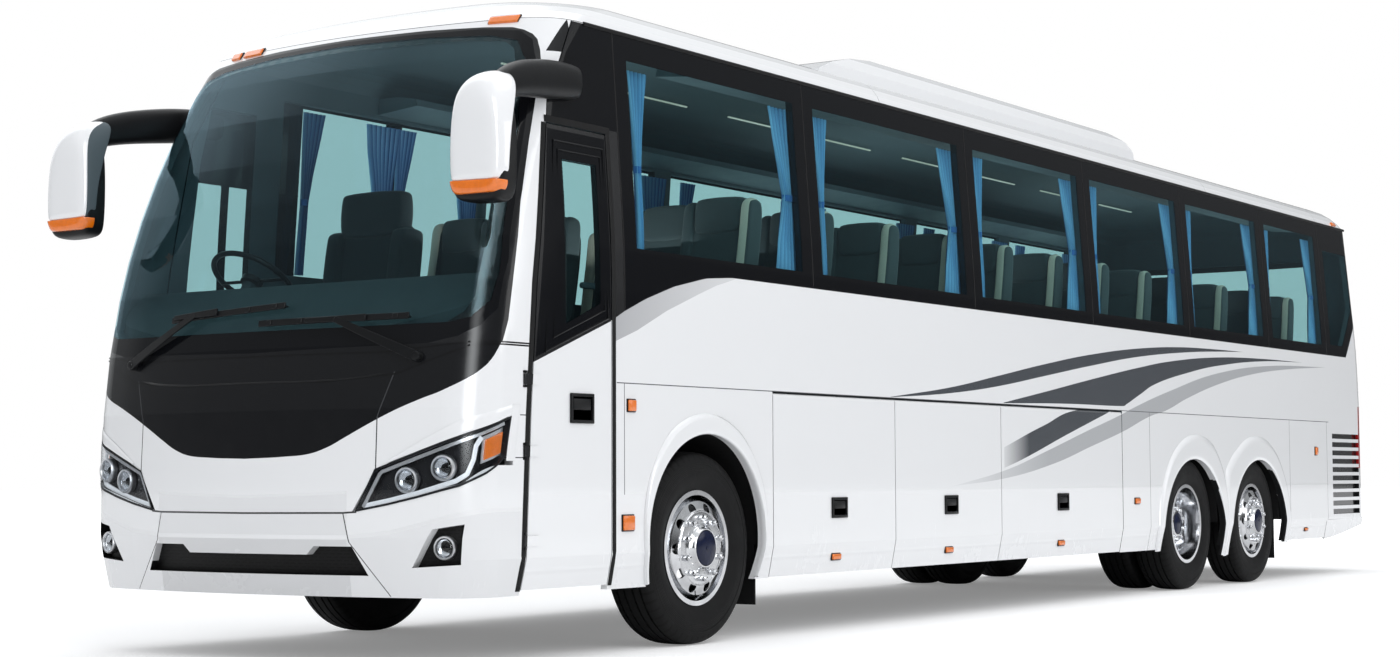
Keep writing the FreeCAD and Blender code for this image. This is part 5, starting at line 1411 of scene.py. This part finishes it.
def bar_on_glass(name, x0, z0, x1, z1, wide, lift, thick, ends=(1.0, 1.0), steps=14):
    """A flat bar laid over the windscreen from one place to another."""
    length = math.hypot(x1 - x0, z1 - z0)
    nx, nz = -(z1 - z0) / length, (x1 - x0) / length

    def place(u, v):
        half = wide / 2 * (ends[0] + (ends[1] - ends[0]) * u)
        off = (2 * v - 1) * half
        rise = lift(u) if callable(lift) else lift
        return glass_spot(x0 + (x1 - x0) * u + nx * off, z0 + (z1 - z0) * u + nz * off, rise)

    return rounded(patch(name, steps, 2, place, thick), 0.002, 1)


def add_wipers(f):
    """Two arms with a pivot each, and a long blade with a bow and a rubber lip."""
    for number, (knob, elbow, low, high) in enumerate(WIPERS, 1):
        (kx, kz), (ex, ez), (bx, bz), (cx, cz) = knob, elbow, low, high
        pieces = [bar_on_glass("arm", kx, kz, ex, ez, 0.040, lambda u: 0.030 + 0.022 * u, 0.010, (1.25, 0.75)),
                  bar_on_glass("bow", ex - (cx - bx) * 0.20, ez + (bz - cz) * 0.20, ex + (cx - bx) * 0.20,
                               ez - (bz - cz) * 0.20, 0.034, 0.050, 0.012, (0.6, 1.0)),
                  bar_on_glass("blade", bx, bz, cx, cz, 0.030, 0.036, 0.012, (1.0, 1.0), 30),
                  bar_on_glass("lip", bx, bz - 0.004, cx, cz - 0.004, 0.007, 0.024, 0.020, (1.0, 1.0), 30)]
        pivot = glass_spot(kx, kz, 0.0)
        out = (glass_spot(kx, kz, 0.1) - pivot).normalized()
        pieces.append(lathe("pivot", [(-0.002, 0.026), (0.026, 0.024), (0.034, 0.019), (0.038, 0.0), (-0.002, 0.0)],
                            pivot, 24, out))
        for share in (0.08, 0.30, 0.70, 0.92):
            x, z = bx + (cx - bx) * share, bz + (cz - bz) * share
            pieces.append(bar_on_glass("clip", x - 0.014, z, x + 0.014, z, 0.026, 0.041, 0.014, (1.0, 1.0), 2))
        wiper = dress(joined("wiper_%d" % number, pieces), f["black_trim"], "coach", 40)
        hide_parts("wipers")
    beads = []
    for line in ([(-1.20, 1.488), (-0.86, 1.362), (-0.47, 1.332), (0.0, 1.337), (0.47, 1.332), (0.86, 1.362),
                  (1.20, 1.488)],
                 [(-1.20, 1.503), (-0.8, 1.466), (0.0, 1.464), (0.8, 1.466), (1.20, 1.503)]):
        beads.append(rod("bead", [glass_spot(x, z, 0.0005) for x, z in line], 0.0045, 3))
    dress(joined("mask_beads", beads), f["gloss_black"], "coach")


def add_rear_corners(f, paints):
    """A dark sheet behind the louvres as painted shade inside them, and the skirt that sweeps up to the tail."""
    backing = patch("backing", 8, 8, lambda u, v: on_side(10.03 + 0.92 * u, 0.46 + 0.88 * v, -0.034), 0.004)
    both_sides(backing, "louvre_shade_backing", f["housing_liner"], COACH)

    def skirt(u, v):
        s = 9.955 + 1.0 * u
        edge = read([(9.95, 0.314), (10.20, 0.330), (10.50, 0.364), (10.75, 0.398), (10.96, 0.428)], s)
        return on_side(s, edge + (0.497 - edge) * v, 0.0018 - 0.036 * max(0.0, v - 0.9))

    both_sides(patch("skirt", 24, 6, skirt, 0.016), "rear_skirt_corner", paints["plain"], COACH)


def add_side_details(f):
    front = side_strip("front_seal", 0.345, 2.585, lambda z: read(NOSE_LINE, z) - 0.036,
                       lambda z: read(NOSE_LINE, z) + 0.001)
    back = side_strip("back_seal", 0.345, 2.60, lambda z: -0.849, lambda z: -0.816)
    bar = side_strip("bar", 2.588, 2.622, lambda z: -1.352, lambda z: -0.816, 0.006, 8)
    dress(joined("door_seals", [front, back, bar]), f["rubber_seal"], "coach")
    outer = [(-1.288, 2.505), (-0.885, 2.505), (-0.885, 1.66), (-1.395, 1.475)]
    inner = [(-1.258, 2.462), (-0.912, 2.462), (-0.912, 1.70), (-1.330, 1.545)]
    beads = [loop_on_side("bead", outer, 0.0065, 0.001), loop_on_side("bead", inner, 0.005, 0.001)]
    dress(joined("door_frame_beads", beads), f["gloss_black"], "passenger_door")
    dress(handle("door_handle", -1.105, 1.211, 0.190, 0.146), f["black_trim"], "passenger_door")
    lids = [(number, grip, lamp, ("luggage_door_left_%d" % number, "luggage_door_right_%d" % number))
            for number, (grip, lamp) in enumerate(LIDS, 1)]
    for number, grip, _, bodies in lids:
        both_sides(handle("lid", grip, 0.70, 0.175, 0.118), "lid_handle_%d" % number, f["black_trim"], bodies)
    for number, _, lamp, bodies in lids:
        side_lamp("lid_lamp_%d" % number, lamp, 0.420, 0.105, 0.044, f, bodies)
    for number, (station, z, length, tall) in enumerate(SIDE_LAMPS, 1):
        side_lamp("side_lamp_%d" % number, station, z, length, tall, f, COACH)

    def gutter(u, v):
        s = -0.98 + 11.80 * u
        turn = 2 * math.pi * v
        return Vector((half_width(3.128) + 0.002 + 0.007 * math.cos(turn), row(s), 3.128 + 0.011 * math.sin(turn)))

    rail = patch("gutter", 60, 12, gutter)
    edit(rail, lambda: bpy.ops.mesh.remove_doubles(threshold=0.0001),
         lambda: bpy.ops.mesh.fill_holes(sides=0), outwards)
    both_sides(rail, "roof_gutter", f["rubber_seal"], COACH)
    panes = []
    for station in DIVIDERS:
        low = 1.955 if station > 0 else 1.72
        panes.append(side_strip("divider", low, 3.118, lambda z: station - 0.006, lambda z: station + 0.006,
                                0.0012, 24))
    both_sides(joined("dividers", panes), "pane_joints", f["rubber_seal"], COACH)


# ---- curtains -----------------------------------------------------------------------------------
CURTAIN_FOOT, CURTAIN_TALL, WAIST_Z = 2.035, 0.93, 2.45
CURTAIN_IN = 0.067          # middle of the cloth, inside the outer face of the wall
TIE_TALL = 0.032            # of the strap laid flat
CLOTHS, TIES = [], []
# the edges of a hanging as (height, front, back), stations counted from its pane joint
FRONT_CURTAIN = [(2.035, 0.212, 0.262), (2.25, 0.222, 0.268), (2.45, 0.230, 0.270), (2.62, 0.222, 0.300),
                 (2.80, 0.212, 0.345), (2.965, 0.205, 0.380)]
REAR_CURTAIN = [(2.035, -0.290, 0.004), (2.20, -0.262, -0.004), (2.45, -0.170, -0.046), (2.62, -0.205, -0.028),
                (2.80, -0.252, -0.002), (2.965, -0.275, 0.016)]
EXTRA_HANGINGS = [(FRONT_CURTAIN, -0.70, 5), (REAR_CURTAIN, 0.315, 7), (FRONT_CURTAIN, 0.10, 5)]


def edges(outline, z):
    """Stations of a curtain's front and back edge at a height, from its pane joint."""
    return [read([(rung[0], rung[side]) for rung in outline], z) for side in (1, 2)]


def drape(outline, station, folds):
    """A gathered curtain between the front and back edges that the outline gives for each height."""
    def place(u, v):
        z = CURTAIN_FOOT + CURTAIN_TALL * v
        front, back = edges(outline, z)
        s = station + front + (back - front) * (u + 0.018 * math.sin(4 * math.pi * folds * u))
        return Vector((half_width(z) - CURTAIN_IN + 0.0150 * pleat(folds, u, v), row(s), z))
    return place


def pleat(folds, u, v):
    """How far a curtain stands out at a place, from -1 in a valley to 1 on a crest."""
    sway = 0.30 * math.sin(9.0 * v + 5.0 * u)
    wave = math.sin(2 * math.pi * folds * u + sway)
    return wave * (1.2 - 0.2 * wave * wave) * (0.85 + 0.15 * math.sin(7.1 * u + 3.0 * v))


def gathered(name, outline, station, folds):
    """The curtain's mesh, each corner marked with the depth of its fold, which its material turns into painted shade
    in the valleys.
    """
    cloth = patch(name, 14 * folds, 26, lambda u, v: Vector((u, v, 0.0)))
    marks = cloth.data.attributes.new("fold_shade", "FLOAT", "POINT")
    for corner, mark in zip(cloth.data.vertices, marks.data):
        mark.value = 0.5 + 0.5 * pleat(folds, corner.co.x, corner.co.y)
    place = drape(outline, station, folds)
    shaped(cloth, lambda v: place(v.x, v.y))
    edit(cloth, outwards)
    return modify(cloth, "SOLIDIFY", thickness=0.0012, offset=0.0)


def tie_band(outline, station):
    """The strap that gathers a curtain at its waist."""
    front, back = edges(outline, WAIST_Z)
    centre, reach = station + (front + back) / 2, (back - front) / 2 + 0.004
    x = half_width(WAIST_Z) - CURTAIN_IN

    def place(u, v):
        turn = 2 * math.pi * u
        return Vector((x + 0.0205 * math.cos(turn), row(centre + reach * math.sin(turn)), 2.432 + 0.036 * v))

    return patch("tie", 40, 4, place, 0.001)


def add_curtains(f):
    hangings = []
    for front, back in zip(DIVIDERS, DIVIDERS[1:]):
        hangings += [(FRONT_CURTAIN, front, 5), (REAR_CURTAIN, back, 7)]
    for number, (outline, station, folds) in enumerate(hangings + EXTRA_HANGINGS, 1):
        name = "curtain_%02d" % number
        sides = (-1,) if number > len(hangings) else (1,) if number == 1 else (1, -1)
        for side in sides:
            label = name + ("_left" if side > 0 else "_right")
            cloth = gathered("cloth", outline, station, folds)
            tie = tie_band(outline, station)
            if side < 0:
                for piece in (cloth, tie):
                    shaped(piece, lambda v: Vector((-v.x, v.y, v.z)))
                    edit(piece, lambda: bpy.ops.mesh.flip_normals())
            cloth.name, tie.name = label, label + "_tie"
            dress(cloth, f["curtain_cloth"], "coach", 60)
            dress(tie, f["curtain_band"], "coach", 60)
            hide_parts("curtains")
            CLOTHS.append(cloth)
            TIES.append(tie)


# ---- seats --------------------------------------------------------------------------------------
def cushion(name, centre, size, puff=0.30, cuts=5):
    """A padded block: crowned faces, edges that pull in between the corners."""
    bpy.ops.object.select_all(action="DESELECT")
    bpy.ops.mesh.primitive_cube_add(size=2.0)
    piece = named(name)
    edit(piece, lambda: bpy.ops.mesh.subdivide(number_cuts=cuts))
    centre, size = Vector(centre), Vector(size) / 2

    def crown(v):
        x, y, z = v
        a = puff
        return centre + Vector((size.x * x * math.sqrt(1 - a * (y * y + z * z) / 2 + a * a * y * y * z * z / 3),
                                size.y * y * math.sqrt(1 - a * (x * x + z * z) / 2 + a * a * x * x * z * z / 3),
                                size.z * z * math.sqrt(1 - a * (x * x + y * y) / 2 + a * a * x * x * y * y / 3)))

    shaped(piece, crown)
    return modify(piece, "SUBSURF", levels=1, render_levels=1)


def lean(piece, foot, share):
    """Tip a seat back over towards the rear, with its head bent forward a little."""
    def tip(v):
        up = v.z - foot
        return Vector((v.x, v.y + share * up - 0.16 * max(0.0, up - 0.42) ** 1.5, v.z))
    return shaped(piece, tip)


def seat_pads(x0, x1, s):
    """Cushion, back, head part and side wings of one seat between two X places."""
    centre, wide, foot = (x0 + x1) / 2, x1 - x0, FLOOR_Z + SEAT_FOOT
    pads = [cushion("pad", (centre, row(s + 0.225), FLOOR_Z + 0.405), (wide, 0.46, 0.145), 0.32)]
    upright = [(centre, 0.505, 0.760, (wide * 0.86, 0.120, 0.68), 0.20, 7),
               (centre, 0.492, 0.995, (wide * 0.72, 0.125, 0.215), 0.26, 5)]
    upright += [(x, 0.495, 0.765, (0.070, 0.150, 0.645), 0.24, 5) for x in (x0 + 0.034, x1 - 0.034)]
    for x, back, up, size, puff, cuts in upright:
        pad = cushion("pad", (x, row(s + back), FLOOR_Z + up), size, puff, cuts)
        pads.append(lean(pad, foot, SEAT_LEAN))
    return pads


def add_seats(f):
    base = joined("seat_pair", seat_pads(0.230, 0.680, SEAT_FIRST + SEAT_STAGGER)
                  + seat_pads(0.700, 1.150, SEAT_FIRST))
    hard = [block("shell", (0.25, row(0.20), FLOOR_Z + 0.29), (1.13, row(0.58), FLOOR_Z + 0.335), 0.012, 2),
            block("leg", (0.40, row(0.28), FLOOR_Z), (0.46, row(0.52), FLOOR_Z + 0.30), 0.010, 2),
            block("leg", (0.92, row(0.28), FLOOR_Z), (0.98, row(0.52), FLOOR_Z + 0.30), 0.010, 2)]
    for x in (0.212, 0.690):
        arm = block("rest", (x - 0.018, row(0.33), FLOOR_Z + 0.60), (x + 0.018, row(0.62), FLOOR_Z + 0.635), 0.012, 3)
        hard.append(arm)
    hard = joined("seat_frame", hard)
    for number in range(SEAT_ROWS):
        move = (0.0, SEAT_PITCH * number, 0.0)
        name = "seat_row_%02d" % (number + 1)
        pads = again(base, name, move)
        for piece in both_sides(pads, name, f["seat_cloth"], COACH, 180):
            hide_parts("passenger_seats")
        both_sides(again(hard, name + "_frame", move), name + "_frame", f["cabin_trim"], COACH)
    hold(base, hard)
    bpy.ops.object.delete()
    s, foot = -0.80, FLOOR_Z + SEAT_FOOT
    pads = [cushion("pad", (-0.80, row(s + 0.24), FLOOR_Z + 0.42), (0.50, 0.50, 0.17), 0.3)]
    for x, back, up, size in ((-0.80, 0.50, 0.70, (0.50, 0.15, 0.56)), (-0.80, 0.475, 1.025, (0.47, 0.135, 0.27)),
                              (-1.04, 0.47, 0.69, (0.10, 0.20, 0.50)), (-0.56, 0.47, 0.69, (0.10, 0.20, 0.50))):
        pad = cushion("pad", (x, row(s + back), FLOOR_Z + up), size, 0.22, 6)
        pads.append(lean(pad, foot, 0.14))
    driver = dress(joined("driver_seat_pads", pads), f["driver_cloth"], "coach", 180)
    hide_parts("driver_seat")
    stand = [block("stand", (-0.98, row(s + 0.05), FLOOR_Z), (-0.64, row(s + 0.42), FLOOR_Z + 0.20), 0.03, 3),
             block("tray", (-1.05, row(s + 0.01), FLOOR_Z + 0.20), (-0.59, row(s + 0.50), FLOOR_Z + 0.335), 0.02, 3)]
    dress(joined("driver_seat_stand", stand), f["cabin_trim"], "coach")


def declare_cloth():
    """Works out each sheet's flat size, half its own mesh's area over its height, without keeping it."""
    for pieces, tall in ((CLOTHS, CURTAIN_TALL), (TIES, TIE_TALL)):
        for piece in pieces:
            area = sum(face.area for face in piece.data.polygons) / 2
            round(area / tall, 3)


# ---- floor, light and air -----------------------------------------------------------------------
def add_floor():
    """A wide pale floor that fades into the white of the background."""
    bpy.ops.object.select_all(action="DESELECT")
    bpy.ops.mesh.primitive_plane_add(size=300.0)
    floor = named("studio_floor")
    made, tree, output = material("studio_floor")
    paper = add_node(tree, "ShaderNodeBsdfDiffuse", Color=mix(
        tree, noise(tree, 0.4, 2.0), (0.90, 0.90, 0.905, 1.0), (0.915, 0.915, 0.92, 1.0)))
    x, y, _ = places(tree)
    away = (x * x + (y - 0.5) * (y - 0.5)).sum("SQRT")
    glow = add_node(tree, "ShaderNodeEmission", Strength=away.ramp(7.5, 16.0) * 0.6 + 0.22)
    lit = add_node(tree, "ShaderNodeAddShader")
    seen = add_node(tree, "ShaderNodeLightPath").outputs["Is Camera Ray"]
    wire(tree, (lit.inputs[0], paper.outputs[0]), (lit.inputs[1], glow.outputs[0]),
         (output.inputs["Surface"], blend(tree, seen, paper.outputs[0], lit.outputs[0])))
    floor.data.materials.append(made)


def add_air():
    """Soft light all round, a bright strip and a wash for what mirrors, plain white behind."""
    world = bpy.data.worlds.new("studio_air")
    bpy.context.scene.world = world
    world.use_nodes = True
    tree = world.node_tree
    tree.nodes.clear()
    output = tree.nodes.new("ShaderNodeOutputWorld")
    path = tree.nodes.new("ShaderNodeLightPath")
    here = tree.nodes.new("ShaderNodeTexCoord")
    split = add_node(tree, "ShaderNodeSeparateXYZ", Vector=here.outputs["Generated"])
    left, back, height = [Reading(tree, socket) for socket in split.outputs]
    bearing = left.sum("ARCTAN2", back * -1.0)      # from dead ahead of the nose, towards the left side
    strip = (bearing - 0.93).size().ramp(0.30, 0.05) * height.ramp(-0.03, 0.08) * height.ramp(0.80, 0.45)
    wash = bearing.ramp(-1.25, -1.50) * bearing.ramp(-2.6, -2.2) * height.ramp(0.0, 0.25)
    camera, glossy, through = [Reading(tree, path.outputs[name]) for name in (
        "Is Camera Ray", "Is Glossy Ray", "Is Transmission Ray")]
    soft = add_node(tree, "ShaderNodeBackground", Strength=0.86, Color=(0.97, 0.985, 1.0, 1.0))
    mirrored = add_node(tree, "ShaderNodeBackground", Color=(0.95, 0.98, 1.0, 1.0),
                        Strength=height.ramp(0.08, 0.80) * 0.86 + 0.09 + strip * 8.0 + wash)
    white = add_node(tree, "ShaderNodeBackground", Strength=1.0, Color=(1, 1, 1, 1))
    lit = blend(tree, glossy, soft.outputs[0], mirrored.outputs[0])
    wire(tree, (output.inputs["Surface"], blend(tree, camera | through, lit, white.outputs[0])))


def add_lamp(name, place, target, width, tall, power):
    light = bpy.data.lights.new(name, "AREA")
    light.shape = "RECTANGLE"
    light.size, light.size_y, light.energy = width, tall, power
    lamp = bpy.data.objects.new(name, light)
    lamp.visible_camera = False
    bpy.context.scene.collection.objects.link(lamp)
    place, target = Vector(place), Vector(target)
    turn = (target - place).to_track_quat("-Z", "Y").to_matrix().to_4x4()
    lamp.matrix_world = Matrix.Translation(place) @ turn


def main():
    paints, finishes = make_paints(), make_finishes()
    finish_frame(finishes, paints)
    add_single_wheels(finishes)
    add_twin_wheels(finishes)
    add_headlamps(finishes, paints)
    add_mirrors(finishes, paints)
    add_arches(paints)
    add_side_details(finishes)
    add_wipers(finishes)
    add_rear_corners(finishes, paints)
    add_markers(finishes)
    add_curtains(finishes)
    add_seats(finishes)
    declare_cloth()
    add_camera()
    add_floor()
    add_air()
    add_lamp("lamp_key", (16.0, -14.0, 15.0), (0.0, 0.0, 1.5), 14.0, 10.0, 1000.0)
    add_lamp("lamp_top", (0.0, 2.0, 17.0), (0.0, 0.0, 0.0), 22.0, 12.0, 700.0)
    add_lamp("lamp_rear", (17.0, 9.0, 6.0), (1.3, 3.5, 1.2), 8.0, 6.0, 300.0)
    for number in range(3):
        y = row(0.6 + 4.0 * number)
        add_lamp("lamp_cabin_%d" % (number + 1), (0.0, y, 2.2), (0.0, y + 0.01, 4.0), 1.6, 1.6, 15.0)
    bpy.context.scene.view_settings.view_transform = "Standard"


main()
